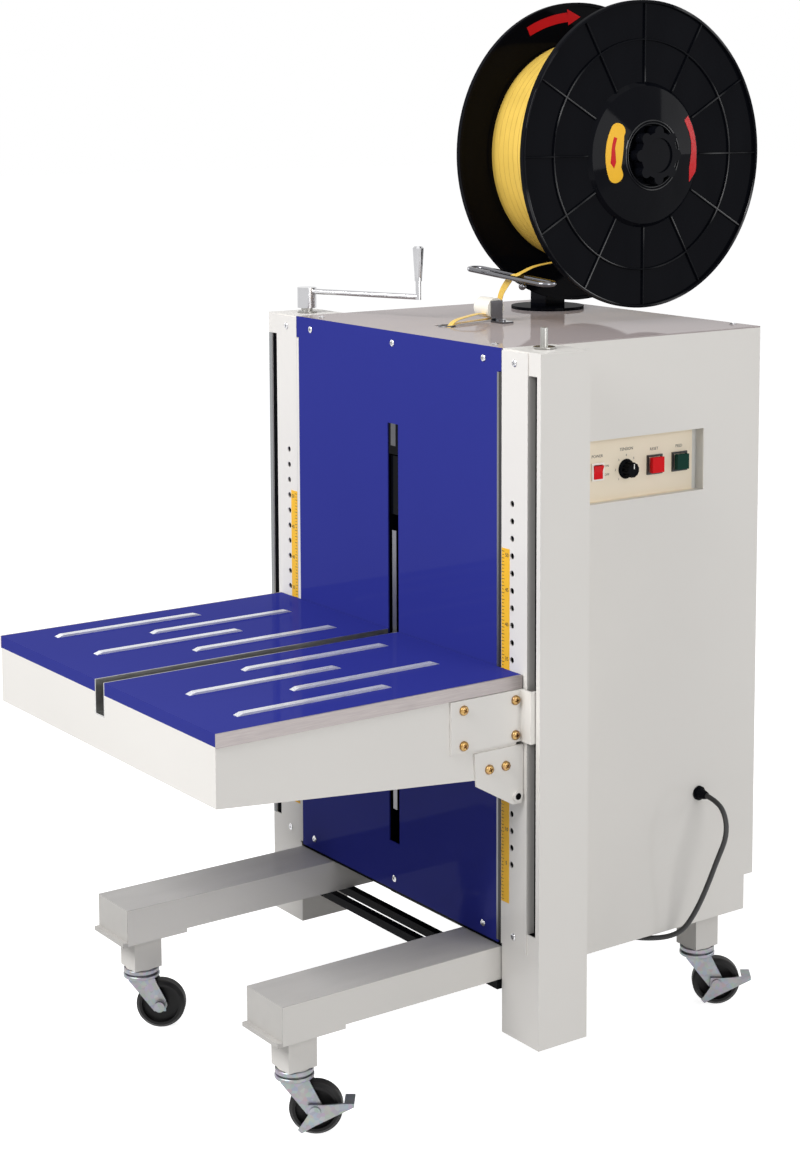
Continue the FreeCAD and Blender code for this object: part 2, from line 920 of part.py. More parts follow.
def seal_head():
    """The sealing head behind the slot, with the cheeks that carry its cam shaft and feed roller."""
    half = c.head_half_width
    near, far = back(c.slot_cheek), back(head_back)
    nose = c.nose_half_width
    block_low, block_high = below(c.head_low_drop), below(c.head_high_drop)
    anvil_low, anvil_high = below(c.anvil_low_drop), below(c.anvil_high_drop)
    gripper_low, gripper_high = below(c.gripper_low_drop), below(c.gripper_high_drop)
    pieces = [
        box("HeadBlock", (-half, near, block_low), (half, far, block_high)),
        box("Anvil", (-nose, back(-c.anvil_proud), anvil_low), (nose, near, anvil_high)),
        box("Gripper", (-nose, back(c.gripper_inset), gripper_low), (nose, near, gripper_high)),
    ]
    for name, low_x, high_x in (("Left", -half, c.cheek_width - half), ("Right", half - c.cheek_width, half)):
        low, high = block_low - c.cheek_drop, block_high + c.cheek_rise
        pieces.append(box("Cheek" + name, (low_x, near, low), (high_x, far, high)))
    start = -half - c.overrun
    run = 2 * (half + c.overrun)
    return cut(
        "SealHead",
        fuse("SealHeadSolid", *pieces),
        rod("CamBore", (start, back(c.cam_depth), below(c.cam_drop)),
            c.cam_shaft + c.running_gap, run, "x"),
        rod("FeedBore", (start, back(c.feed_depth), below(c.feed_drop)),
            c.feed_shaft + c.running_gap, run, "x"),
    )


def cam_shaft():
    """Three cams at a third of a turn from each other on one shaft."""
    half = c.head_half_width + c.cheek_width
    pieces = [rod("CamRod", (-half, back(c.cam_depth), below(c.cam_drop)), c.cam_shaft, 2 * half, "x")]
    for k in range(-1, 2):
        turn = 2 * math.pi * k / 3
        depth = c.cam_depth + c.cam_throw * round(math.sin(turn), 4)
        level = below(c.cam_drop) + c.cam_throw * round(math.cos(turn), 4)
        start = c.cam_pitch * k - c.cam_width / 2
        pieces.append(rod(f"Cam{k + 2}", (start, back(depth), level), c.cam_radius, c.cam_width, "x"))
    return fuse("CamShaft", *pieces)


def feed_roller():
    half = c.head_half_width + c.cheek_width
    return fuse(
        "FeedRoller",
        rod("FeedRod", (-half, back(c.feed_depth), below(c.feed_drop)), c.feed_shaft, 2 * half, "x"),
        rod("FeedDrum", (-c.feed_half_width, back(c.feed_depth), below(c.feed_drop)), c.feed_radius,
            2 * c.feed_half_width, "x"),
    )


def drive_motor():
    """The motor on a plate that lies across the rails."""
    depth = (c.motor_near + c.motor_far) / 2
    half = c.saddle_half
    return fuse(
        "DriveMotor",
        box("MotorPlate", (-motor_half, back(c.motor_near), rail_top),
            (motor_half, back(c.motor_far), rail_top + c.motor_thickness)),
        box("MotorSaddle", (-half, back(depth - half), rail_top), (half, back(depth + half), c.motor_level)),
        rod("MotorCan", (-c.motor_half_length, back(depth), c.motor_level), c.motor_radius,
            2 * c.motor_half_length, "x"),
        rod("MotorShaft", (-c.motor_half_length - c.saddle_half, back(depth), c.motor_level), c.screw_radius,
            c.saddle_half, "x"),
    )


CONTROLS = {
    "Rocker": (c.rocker_depth, below(c.rocker_drop), c.rocker_half_width, c.rocker_half_height),
    "Red": (red_depth, below(c.push_drop), c.push_half_width, c.push_half_height),
    "Green": (green_depth, below(c.push_drop), c.push_half_width, c.push_half_height),
}


def control_hole(name):
    """The opening of a switch in its bezel, a gap wider all round than the switch."""
    depth, level, half_y, half_z = CONTROLS[name]
    half_y, half_z = half_y + c.face_gap, half_z + c.face_gap
    return back(depth - half_y), level - half_z, back(depth + half_y), level + half_z


def control_plate():
    """The recessed pan of the controls, with a raised bezel round each switch."""
    owner = body("ControlPlate")
    near, far = back(c.recess_near), back(recess_far)
    low, high = below(c.recess_low_drop), below(c.recess_high_drop)
    lip, gauge = c.recess_lip, c.sheet_gauge
    drawing = sketch(owner, "YZ_Plane", rail_outer)
    rectangle(drawing, near - lip, low - lip, far + lip, high + lip)
    pad(owner, drawing, gauge, back=True)
    drawing = sketch(owner, "YZ_Plane", rail_outer)
    rectangle(drawing, near - gauge, low - gauge, far + gauge, high + gauge)
    pad(owner, drawing, rail_outer - plate_back, back=True)
    open_out(owner, "YZ_Plane", (near, low, far, high), rail_outer, rail_outer - plate_face)
    wall = c.bezel_wall
    for depth, level, half_y, half_z in CONTROLS.values():
        half_y, half_z = half_y + wall, half_z + wall
        drawing = sketch(owner, "YZ_Plane", plate_face)
        rectangle(drawing, back(depth - half_y), level - half_z, back(depth + half_y), level + half_z)
        pad(owner, drawing, c.bezel_height)
    depth, level, half_y, half_z = CONTROLS["Rocker"]
    gap = c.face_gap
    hole = control_hole("Rocker")
    open_out(owner, "YZ_Plane", hole, plate_face + c.bezel_height, c.bezel_height + gauge)
    drawing = sketch(owner, "XZ_Plane", -back(depth))
    circle(drawing, plate_face, level, c.rocker_pin + c.running_gap)
    pocket(owner, drawing, 2 * (half_y + gap) + wall, both=True)
    for name in ("Red", "Green"):
        depth, level, half_y, half_z = CONTROLS[name]
        open_out(owner, "YZ_Plane", control_hole(name), plate_face + c.bezel_height, c.bezel_height)
        drawing = sketch(owner, "YZ_Plane", plate_face)
        circle(drawing, back(depth), level, c.push_stem + c.running_gap)
        pocket(owner, drawing, gauge)
    drawing = sketch(owner, "YZ_Plane", plate_face)
    circle(drawing, back(knob_depth), below(c.knob_drop), c.knob_shaft + c.running_gap)
    pocket(owner, drawing, gauge)
    return owner


def power_rocker():
    """A rocker on two short pins, with a raised wing at each end, tilted to its off side."""
    owner = body("PowerRocker")
    wide, tall = c.rocker_half_width - c.face_gap, c.rocker_half_height - c.face_gap
    drawing = sketch(owner, "XZ_Plane", 0)
    outline(drawing, [
        (-c.rocker_back, -c.rocker_back), (c.rocker_wing, -tall), (c.rocker_proud + c.rocker_wing, -tall),
        (c.rocker_proud, 0), (c.rocker_proud + c.rocker_wing, tall), (c.rocker_wing, tall),
        (-c.rocker_back, c.rocker_back),
    ])
    pad(owner, drawing, 2 * wide, both=True)
    pin = sketch(owner, "XZ_Plane", 0)
    circle(pin, 0, 0, c.rocker_pin)
    pad(owner, pin, 2 * wide + c.bezel_wall, both=True)
    owner.Placement = Placement(Vector(), Rotation(Vector(0, 1, 0), c.rocker_tilt.value))
    owner.setExpression("Placement.Rotation.Angle", c.rocker_tilt.formula)
    return place(owner, plate_face, back(c.rocker_depth), below(c.rocker_drop))


def speed_knob():
    """A fluted knob on a skirt, with a stem through the plate and a clip behind it."""
    owner = body("SpeedKnob")
    gap = c.face_gap
    stem_end = -c.sheet_gauge - gap - c.knob_skirt_height
    top = gap + c.knob_height
    drawing = sketch(owner, "XY_Plane")
    outline(drawing, [
        (stem_end, 0), (top, 0), (top, c.knob_radius - c.knob_flute), (top - c.knob_flute, c.knob_radius),
        (gap + c.knob_skirt_height, c.knob_radius), (gap, c.knob_skirt), (gap, c.knob_shaft),
        (-c.sheet_gauge - gap, c.knob_shaft), (-c.sheet_gauge - gap, 2 * c.knob_shaft),
        (stem_end, 2 * c.knob_shaft),
    ])
    revolve(owner, drawing)
    flute = sketch(owner, "YZ_Plane", gap + c.knob_skirt_height)
    circle(flute, c.knob_radius, 0, c.knob_flute)
    first = pocket(owner, flute, c.knob_height, back=True)
    repeat_round(owner, first, flute, 12)
    return place(owner, plate_face, back(knob_depth), below(c.knob_drop))


def push_button(name, depth):
    """A square cap on a stem, held by a collar behind the plate."""
    owner = body(name)
    gap = c.face_gap
    wide, tall = c.push_half_width - gap, c.push_half_height - gap
    drawing = sketch(owner, "YZ_Plane", c.push_travel + 2 * gap)
    rectangle(drawing, -wide, -tall, wide, tall)
    pad(owner, drawing, c.push_proud)
    stem = sketch(owner, "YZ_Plane", c.push_travel + 2 * gap)
    circle(stem, 0, 0, c.push_stem)
    pad(owner, stem, c.push_travel + 2 * gap + c.sheet_gauge + gap + c.push_travel, back=True)
    collar = sketch(owner, "YZ_Plane", -c.sheet_gauge - gap)
    circle(collar, 0, 0, c.push_collar)
    pad(owner, collar, c.push_travel, back=True)
    return place(owner, plate_face, back(depth), below(c.push_drop))


def table_frame():
    """A box frame of four walls, shallower at the front, notched for the strap channel."""
    owner = body("TableFrame")
    near, far = back(-c.table_reach), back(-c.table_back_gap)
    wide, gauge = table_half, c.apron_gauge
    drawing = sketch(owner, "YZ_Plane")
    outline(drawing, [(near, apron_low), (near, deck_low), (far, deck_low), (far, apron_low - c.apron_taper)])
    pad(owner, drawing, 2 * wide, both=True)
    inside = (gauge - wide, near + gauge, wide - gauge, far - gauge)
    depth = c.deck_lip + c.apron_depth + c.apron_taper
    open_out(owner, "XY_Plane", inside, deck_low, depth)
    notch = (-c.groove_half, c.table_height - c.groove_depth, c.groove_half, deck_low)
    open_out(owner, "XZ_Plane", notch, -near, c.table_reach)
    return owner


def table_top(name, side):
    """One half of the table: a pan open below, its lips standing on the frame."""
    owner = body(name)
    inner, outer = c.groove_half, table_half
    low_x, high_x = (inner, outer) if side > 0 else (-outer, -inner)
    near, far = back(-c.table_reach), back(-c.deck_back_gap)
    gauge = c.deck_gauge
    corners = [(low_x, near), (high_x, near), (high_x, far), (low_x, far)]
    shape_from(owner, "XY_Plane", corners, deck_low, c.deck_lip)
    open_out(owner, "XY_Plane", (low_x + gauge, near + gauge, high_x - gauge, far - gauge),
             deck_low, c.deck_lip - gauge, reverse=True)
    return owner


def strap_groove():
    """The channel between the table halves where the strap runs out to the front."""
    owner = body("StrapGroove")
    half, gauge = c.groove_half, c.groove_gauge
    low, high = c.table_height - c.groove_depth, c.table_height
    drawing = sketch(owner, "XZ_Plane", -back(-c.table_reach))
    outline(drawing, [
        (-half, low), (half, low), (half, high), (half - gauge, high), (half - gauge, low + gauge),
        (gauge - half, low + gauge), (gauge - half, high), (-half, high),
    ])
    pad(owner, drawing, c.table_reach - c.deck_back_gap, back=True)
    return owner


def slide_strip(name, x, front_end):
    """A low strip with a ramp at each end."""
    owner = body(name)
    near, far = back(-front_end), back(c.strip_length - front_end)
    low, high = c.table_height, c.table_height + c.strip_height
    shape_from(
        owner, "YZ_Plane", [(near, low), (far, low), (far - c.strip_ramp, high), (near + c.strip_ramp, high)],
        x - c.strip_width / 2, c.strip_width,
    )
    return owner


def slide_strips():
    pieces = []
    rows = (
        ("Front", c.strip_front, (table_half - c.strip_front_inset, c.strip_front_inner)),
        ("Back", c.strip_back, (table_half - c.strip_back_inset, c.strip_back_inner)),
    )
    for row_name, front_end, spans in rows:
        for k, span in enumerate(spans):
            pieces.append(slide_strip(f"Strip{row_name}Right{k}", span, front_end))
            pieces.append(slide_strip(f"Strip{row_name}Left{k}", -span, front_end))
    low = c.table_height - c.edge_strip_height
    near, far = back(-c.table_reach), back(-c.deck_back_gap)
    edge = box("EdgeRight", (table_half, near, low), (table_half + c.edge_strip, far, c.table_height))
    return group("SlideStrips", *pieces, edge, mirrored("EdgeLeft", edge))


def table_brackets():
    """On each side a plate bent out and back into the post, and the arm of the guide roller."""
    owner = body("Bracket")
    near, fold = back(-c.bracket_length - c.bracket_gauge), back(-2 * c.bracket_gauge)
    inner = table_half
    shape_from(
        owner, "XY_Plane",
        [(inner, near), (bracket_outer, near), (bracket_outer, fold), (tongue_outer, fold),
         (tongue_outer, back(c.tongue_depth)), (tongue_inner, back(c.tongue_depth)),
         (tongue_inner, fold + c.bracket_gauge), (inner, fold + c.bracket_gauge)],
        under_deck(c.bracket_low_drop), under_deck(c.bracket_high_drop) - under_deck(c.bracket_low_drop),
    )
    arm = body("RollerArm")
    top, shoulder = under_deck(c.gusset_top_drop), under_deck(c.gusset_shoulder_drop)
    low, level = under_deck(c.gusset_low_drop), under_deck(c.roller_drop)
    shape_from(
        arm, "YZ_Plane",
        [(back(-c.gusset_front), top), (back(c.bracket_gauge - c.gusset_front), shoulder),
         (back(-c.gusset_heel), low), (back(-c.gusset_toe * 2), low),
         (back(-c.gusset_toe), level), (back(-c.gusset_toe), top)],
        inner, c.bracket_gauge,
    )
    pin_depth = back(-c.guide_gauge - c.face_gap - c.roller_radius)
    pin_length = c.roller_width + 2 * c.bracket_gauge
    pin = rod("RollerPin", (inner - pin_length, pin_depth, level), c.axle_radius, pin_length, "x")
    head = rod("RollerPinHead", (inner - pin_length, pin_depth, level), c.axle_head, c.sheet_gauge, "x")
    boss = cut(
        "RollerPinBoss",
        rod("RollerPinRim", (bracket_outer, pin_depth, level), c.axle_head, c.edge_strip, "x"),
        rod("RollerPinSocket", (bracket_outer + c.edge_strip - c.socket_depth, pin_depth, level),
            c.socket_radius, c.socket_depth + c.overrun, "x"),
    )
    right = group("BracketRight", owner, fuse("RollerArmRight", arm, pin, head, boss))
    return group("TableBrackets", right, mirrored("BracketLeft", right))


def guide_roller(name, side):
    """A roller that bears on the face of the guide plate."""
    pin_depth = back(-c.guide_gauge - c.face_gap - c.roller_radius)
    inner = table_half - c.bracket_gauge - c.roller_width
    start = inner if side > 0 else -inner - c.roller_width
    base = (start, pin_depth, under_deck(c.roller_drop))
    bore_base = (start - c.overrun, pin_depth, under_deck(c.roller_drop))
    return cut(
        name,
        rod(name + "Tread", base, c.roller_radius, c.roller_width, "x"),
        rod(name + "Bore", bore_base, c.axle_radius + c.running_gap, c.roller_width + 2 * c.overrun, "x"),
    )


def bracket_bolts():
    """Round-headed bolts through the brackets and the roller arms."""
    high = under_deck(c.bracket_high_drop) - c.bolt_inset
    low = under_deck(c.bracket_low_drop) + c.bolt_inset - c.bolt_radius / 2
    arm_high = under_deck(c.gusset_top_drop) - c.gusset_bolt_drop
    places = [
        (c.bolt_front, high), (c.bolt_back, high), (c.bolt_front, low), (c.bolt_back, low),
        (c.gusset_bolt_front, arm_high), (c.gusset_bolt_back, arm_high),
    ]
    right = group("BoltsRight", *[
        rod(f"Bolt{k}", (bracket_outer, back(-depth), level), c.bolt_radius, c.bolt_height, "x")
        for k, (depth, level) in enumerate(places)
    ])
    return group("BracketBolts", right, mirrored("BoltsLeft", right))


def lift_nuts():
    """The nut of each lead screw, held on the end of its bracket."""
    near, far = back(c.screw_depth - c.nut_half), back(c.screw_depth + c.nut_half)
    left = screw_span - c.nut_half + c.bracket_gauge
    low = under_deck(c.nut_drop)
    block = box("NutBlock", (left, near, low), (tongue_inner, far, low + c.nut_height))
    bore = rod("NutBore", (screw_span, back(c.screw_depth), low - c.overrun),
               c.screw_radius + c.running_gap, c.nut_height + 2 * c.overrun)
    right = cut("NutRight", block, bore)
    return group("LiftNuts", right, mirrored("NutLeft", right))


def screw_pieces(name, side):
    """A lead screw on the post's floor, with its chain wheel and the washer above the post."""
    x, y = side * screw_span, back(c.screw_depth)
    above = c.top_height + c.face_gap
    return [
        rod(name + "Rod", (x, y, head_low), c.screw_radius, above - head_low),
        rod(name + "Wheel", (x, y, chain_low), c.sprocket_radius, c.chain_height),
        rod(name + "Washer", (x, y, above), c.washer_radius, c.washer_height),
    ], above + c.washer_height


def lead_screw_right():
    pieces, top = screw_pieces("ScrewRight", 1)
    pieces.append(rod("ScrewStud", (screw_span, back(c.screw_depth), top), c.stud_radius, c.stud_height))
    return fuse("LeadScrewRight", *pieces)


def lead_screw_left():
    pieces, top = screw_pieces("ScrewLeft", -1)
    pieces.append(rod("ScrewNeck", (-screw_span, back(c.screw_depth), top), c.neck_radius, c.neck_height))
    return fuse("LeadScrewLeft", *pieces)


def crank_arm():
    """A hub, a round arm turned to its heading, an upturned end and the pin of the grip."""
    owner = body("CrankArm")
    low = c.top_height + c.face_gap + c.washer_height + c.neck_height
    hub = sketch(owner, "XY_Plane", low)
    circle(hub, 0, 0, c.hub_radius)
    pad(owner, hub, c.hub_height)
    arm = sketch(owner, "YZ_Plane")
    circle(arm, 0, above(c.crank_rise), c.crank_rod)
    pad(owner, arm, c.crank_arm)
    rise = sketch(owner, "XY_Plane", above(c.crank_rise))
    circle(rise, c.crank_arm, 0, c.crank_rod)
    pad(owner, rise, above(c.grip_rise) - c.face_gap - above(c.crank_rise))
    elbow = sketch(owner, "XY_Plane", above(c.crank_rise) - c.crank_rod)
    circle(elbow, c.crank_arm, 0, c.crank_rod)
    pad(owner, elbow, c.crank_rod)
    stem = sketch(owner, "XY_Plane", above(c.crank_rise))
    circle(stem, c.crank_arm, 0, c.grip_pin)
    pad(owner, stem, above(c.grip_rise) + c.grip_length - c.grip_foot - above(c.crank_rise))
    owner.Placement = Placement(Vector(), Rotation(Vector(0, 0, 1), c.crank_heading.value))
    owner.setExpression("Placement.Rotation.Angle", c.crank_heading.formula)
    return place(owner, -screw_span, back(c.screw_depth), 0)


def crank_end():
    """Where the crank's pin stands, from the arm's length and heading."""
    turn = math.radians(c.crank_heading.value)
    cosine = Size(math.cos(turn), "cos(Sizes.crank_heading * 1deg)")
    sine = Size(math.sin(turn), "sin(Sizes.crank_heading * 1deg)")
    return c.crank_arm * cosine - screw_span, back(c.screw_depth) + c.crank_arm * sine


def crank_grip():
    """A tapered grip that turns on the crank's pin."""
    owner = body("CrankGrip")
    foot, end = c.grip_foot, c.grip_length
    bore = c.grip_pin + c.running_gap
    round_off = c.grip_radius - c.grip_foot
    floor = end - c.grip_foot + c.face_gap
    drawing = sketch(owner, "XZ_Plane")
    outline(drawing, [
        (bore, 0), (foot, 0), (foot + c.running_gap, c.grip_foot), (c.grip_radius, end - round_off),
        (foot, end), (0, end), (0, floor), (bore, floor),
    ])
    revolve(owner, drawing, "V_Axis")
    x, y = crank_end()
    return place(owner, x, y, above(c.grip_rise))


def chain_loop(name, radius):
    """The straight-sided outline of the chain at one distance from the wheels' centres."""
    x, y = screw_span, back(c.screw_depth)
    return fuse(
        name,
        box(name + "Run", (-x, y - radius, chain_low), (x, y + radius, chain_low + c.chain_height)),
        rod(name + "Left", (-x, y, chain_low), radius, c.chain_height),
        rod(name + "Right", (x, y, chain_low), radius, c.chain_height),
    )


def lift_chain():
    return cut("LiftChain", chain_loop("ChainOuter", chain_outer), chain_loop("ChainInner", chain_inner))


def reel_place(owner):
    return place(owner, 0, back(c.reel_back), above(c.reel_rise))


def reel_flange_far():
    """The far disc with its rim, the drum and the sleeve on the axle, turned as one piece."""
    owner = body("ReelFlangeFar")
    face = c.reel_far + c.flange_thickness
    end = c.reel_near - c.flange_thickness - c.face_gap
    bore = c.axle_rod + c.running_gap
    sleeve = bore + c.sleeve_wall
    drawing = sketch(owner, "XY_Plane")
    outline(drawing, [
        (c.reel_far, bore), (end, bore), (end, sleeve), (face, sleeve), (face, c.drum_radius - c.drum_wall),
        (end, c.drum_radius - c.drum_wall), (end, c.drum_radius), (face, c.drum_radius),
        (face, c.reel_radius - c.rim_width), (face + c.rim_height, c.reel_radius - c.rim_width),
        (face + c.rim_height, c.reel_radius), (c.reel_far, c.reel_radius),
    ])
    revolve(owner, drawing)
    return reel_place(owner)


def reel_flange_near():
    """The near disc with its rim, ring and twelve ribs, and a conical hub round the nut's well."""
    owner = body("ReelFlangeNear")
    inner = c.reel_near - c.flange_thickness
    bore = c.axle_rod + c.running_gap
    rim, ring = c.reel_radius - c.rim_width, c.ring_radius
    shoulder = c.reel_near + c.hub_bevel
    drawing = sketch(owner, "XY_Plane")
    outline(drawing, [
        (inner, bore), (inner, c.reel_radius), (c.reel_near + c.rim_height, c.reel_radius),
        (c.reel_near + c.rim_height, rim), (c.reel_near, rim),
        (c.reel_near, ring + c.rib_width), (c.reel_near + c.ring_height, ring + c.rib_width),
        (c.reel_near + c.ring_height, ring), (c.reel_near, ring),
        (c.reel_near, c.hub_outer), (shoulder, c.hub_outer - c.hub_bevel), (c.hub_crest, c.hub_inner),
        (c.hub_crest, c.hub_well), (c.hub_face, c.hub_well), (c.hub_face, bore),
    ])
    revolve(owner, drawing)
    rib = sketch(owner, "YZ_Plane", c.reel_near)
    half = c.rib_width / 2
    rectangle(rib, -half, c.hub_outer - half, half, rim + half)
    first = pad(owner, rib, c.ring_height)
    repeat_round(owner, first, rib, 12)
    return reel_place(owner)


def star_nut():
    """The lobed nut that holds the reel, hollow over the end of the axle."""
    owner = body("StarNut")
    start = c.hub_face + c.face_gap
    core = sketch(owner, "YZ_Plane", start)
    circle(core, 0, 0, c.nut_radius)
    pad(owner, core, c.nut_depth)
    lobe = sketch(owner, "YZ_Plane", start)
    circle(lobe, 0, c.nut_radius, c.nut_lobe)
    first = pad(owner, lobe, c.nut_depth)
    repeat_round(owner, first, lobe, 8)
    dish = sketch(owner, "YZ_Plane", start + c.nut_depth)
    circle(dish, 0, 0, c.nut_radius - c.nut_lobe)
    pocket(owner, dish, c.nut_lobe / 3)
    hole = sketch(owner, "YZ_Plane", start)
    circle(hole, 0, 0, c.axle_rod + c.running_gap)
    pocket(owner, hole, c.nut_floor, back=True)
    return reel_place(owner)


def numbers(*sizes):
    return [sized(size).value for size in sizes]


def strip_loft(stations):
    """A solid ribbon through rectangular stations, each given by its four corners."""
    wires = [Part.makePolygon([*corners, corners[0]]) for corners in stations]
    return Part.makeLoft(wires, True, True)


def strap_winding():
    """The wound strap: a plain core, and an outer layer that runs from flange to flange."""
    radius, thick, wide, pitch, gap = numbers(
        c.winding_radius, c.strap_thickness, c.strap_width, c.strap_pitch, c.face_gap)
    near, far = numbers(c.reel_near - c.flange_thickness, c.reel_far + c.flange_thickness)
    turns = math.floor((near - far - 2 * gap - wide) / pitch)
    start = far + gap
    steps = 30
    stations = []
    for k in range(turns * steps + 1):
        turn = 2 * math.pi * k / steps
        x = start + pitch * k / steps
        out = Vector(0, math.sin(turn), -math.cos(turn))
        low, high = out * (radius - thick), out * radius
        stations.append([low + Vector(x, 0, 0), high + Vector(x, 0, 0),
                         high + Vector(x + wide, 0, 0), low + Vector(x + wide, 0, 0)])
    layer = strip_loft(stations)
    bore = c.drum_radius.value + gap
    core_radius = radius - thick - c.core_clearance.value
    length = near - far - 2 * gap
    core = Part.makeCylinder(core_radius, length, Vector(start, 0, 0), Vector(1, 0, 0))
    hole = Part.makeCylinder(bore, length, Vector(start, 0, 0), Vector(1, 0, 0))
    print("strap winding: least gap between turns", round(pitch - wide, 3), "mm,", turns, "turns")
    thing = doc.addObject("Part::Feature", "StrapWinding")
    thing.Shape = Part.makeCompound([core.cut(hole), layer])
    thing.Placement = Placement(Vector(0, *numbers(back(c.reel_back), above(c.reel_rise))), Rotation())
    return thing


def strap_tail():
    """The loose strap from the winding through the loop, round the roller and into the slit."""
    leave = c.tail_leave.value
    outer = c.winding_radius + c.strap_thickness
    sine, cosine = math.sin(leave), math.cos(leave)
    start = (back(c.reel_back - outer * sine), above(c.reel_rise) - outer * cosine)
    past = c.top_roller + c.strap_thickness
    loop = back(c.loop_depth)
    roller, level = back(c.top_roller_depth), above(c.top_roller_rise)
    slit_x = (c.entry_right - c.entry_left) / 2
    roller_x = -(c.top_roller_left + c.top_roller_right) / 2
    slit = back((c.entry_near + c.entry_far) / 2)
    bend = past + c.strap_thickness
    run = bend * math.sqrt(2) / 2
    route = [
        (c.tail_start, start[0], start[1]),
        (c.tail_start, (start[0] + back(c.tail_crest)) / 2, above(c.tail_crest_rise)),
        (c.tail_start, back(c.tail_crest), above(c.tail_crest_rise)),
        (c.tail_start, loop + 3 * c.loop_half_gap, above(c.tail_bow_rise)),
        (c.tail_start, loop + c.loop_half_gap, above(c.loop_rise) + c.arm_rod + c.strap_thickness),
        (c.tail_start, loop + c.loop_half_gap / 2, above(c.loop_rise) + 2 * c.strap_thickness),
        (c.tail_start / 2, loop, above(c.loop_rise) - c.arm_rod),
        (roller_x / 2, (loop + roller + past) / 2, (above(c.loop_rise) + level) / 2),
        (roller_x, roller + bend, level),
        (roller_x, roller + run, level - run),
        (roller_x, roller, level - bend),
        ((roller_x + slit_x) / 2, (roller + slit) / 2, c.top_height + 2 * c.strap_thickness),
        (slit_x, slit + past / 2, c.top_height + c.strap_thickness),
        (slit_x, slit, c.top_height - past / 2),
        (slit_x, slit, c.top_height - past),
    ]
    points = [Vector(*numbers(*spot)) for spot in route]
    half, thick = c.strap_width.value / 2, c.strap_thickness.value / 2
    stations = []
    for k, point in enumerate(points):
        along = points[min(k + 1, len(points) - 1)] - points[max(k - 1, 0)]
        out = along.cross(Vector(1, 0, 0)).normalize()
        across = out.cross(along).normalize() * half
        out = out * thick
        left, right = point - across, point + across
        stations.append([left - out, right - out, right + out, left + out])
    thing = doc.addObject("Part::Feature", "StrapTail")
    thing.Shape = strip_loft(stations)
    return thing


def reel_stand():
    """A square post on a round foot, with the reel's axle and the pin of the guide arm."""
    x = -c.stand_inset
    depth, half = c.reel_back, c.stand_side / 2
    foot_top = c.top_height + c.stand_plate
    return fuse(
        "ReelStand",
        rod("StandFoot", (x - half, back(depth), c.top_height), c.stand_foot, c.stand_plate),
        box("StandPost", (x - c.stand_side, back(depth - half), foot_top),
            (x, back(depth + half), above(c.reel_rise) + c.stand_above)),
        rod("ReelAxle", (x - half, back(depth), above(c.reel_rise)), c.axle_rod, c.axle_end - x + half, "x"),
        rod("AxleCollar", (x, back(depth), above(c.reel_rise)), c.axle_rod + c.sleeve_wall,
            c.reel_far - c.face_gap - x, "x"),
        rod("ArmPin", (x - half, back(c.arm_eye_depth), above(c.arm_eye_rise)), c.arm_pin,
            c.arm_pin_length + half, "x"),
        rod("ArmPinHead", (x + c.face_gap * 2 + c.arm_eye_width, back(c.arm_eye_depth), above(c.arm_eye_rise)),
            c.arm_pin + c.sheet_gauge, c.sheet_gauge, "x"),
    )


def brake_arm():
    """A lever on the stand that carries a long level loop across both flanges."""
    eye_x = c.face_gap - c.stand_inset
    eye_depth, eye_level = c.arm_eye_depth, above(c.arm_eye_rise)
    eye = cut(
        "ArmEye",
        rod("ArmBoss", (eye_x, back(eye_depth), eye_level), c.arm_eye, c.arm_eye_width, "x"),
        rod("ArmBore", (eye_x - c.overrun, back(eye_depth), eye_level), c.arm_pin + c.running_gap,
            c.arm_eye_width + 2 * c.overrun, "x"),
    )
    radius = c.arm_rod.value
    left, right, near, far, level, tilt = numbers(
        -c.loop_left, c.loop_right, back(c.loop_depth - c.loop_half_gap), back(c.loop_depth + c.loop_half_gap),
        above(c.loop_rise), c.loop_tilt)
    half = (far - near) / 2
    mid = (far + near) / 2
    lift = Vector(right - left - 2 * half, 0, -2 * tilt).normalize()
    a = Vector(left + half, near, level + tilt)
    b = Vector(right - half, near, level - tilt)
    e = Vector(right - half, far, level - tilt)
    g = Vector(left + half, far, level + tilt)
    ends = [Vector(point.x, mid, point.z) + lift * (half * sign) for point, sign in ((b, 1), (a, -1))]
    loop = Part.Wire([
        Part.makeLine(a, b),
        Part.Arc(b, ends[0], e).toShape(),
        Part.makeLine(e, g),
        Part.Arc(g, ends[1], a).toShape(),
    ])
    ring = Part.Wire(Part.makeCircle(radius, a, lift))
    loop_solid = loop.makePipeShell([ring], True, True)
    eye_wall = (c.arm_eye + c.arm_pin) / 2
    lever_start = Vector(*numbers(eye_x + c.arm_eye_width / 2, back(eye_depth - eye_wall), eye_level))
    lever_end = g - lift * (half / 2) - Vector(0, radius / 2, 0)
    lever = Part.makeCylinder(radius, (lever_end - lever_start).Length, lever_start, lever_end - lever_start)
    ball_x, ball_drop, ball_radius = numbers(c.ball_place, c.ball_drop, c.ball_radius)
    rod_level = level + tilt - 2 * tilt * (ball_x - a.x) / (b.x - a.x)
    ball_centre = Vector(ball_x, far, rod_level - ball_drop)
    ball = Part.makeSphere(ball_radius, ball_centre)
    stem = Part.makeCylinder(radius / 2, ball_drop, ball_centre, Vector(0, 0, 1))
    wire = doc.addObject("Part::Feature", "ArmWire")
    wire.Shape = loop_solid.fuse([lever, ball, stem])
    return fuse("BrakeArm", eye, wire)


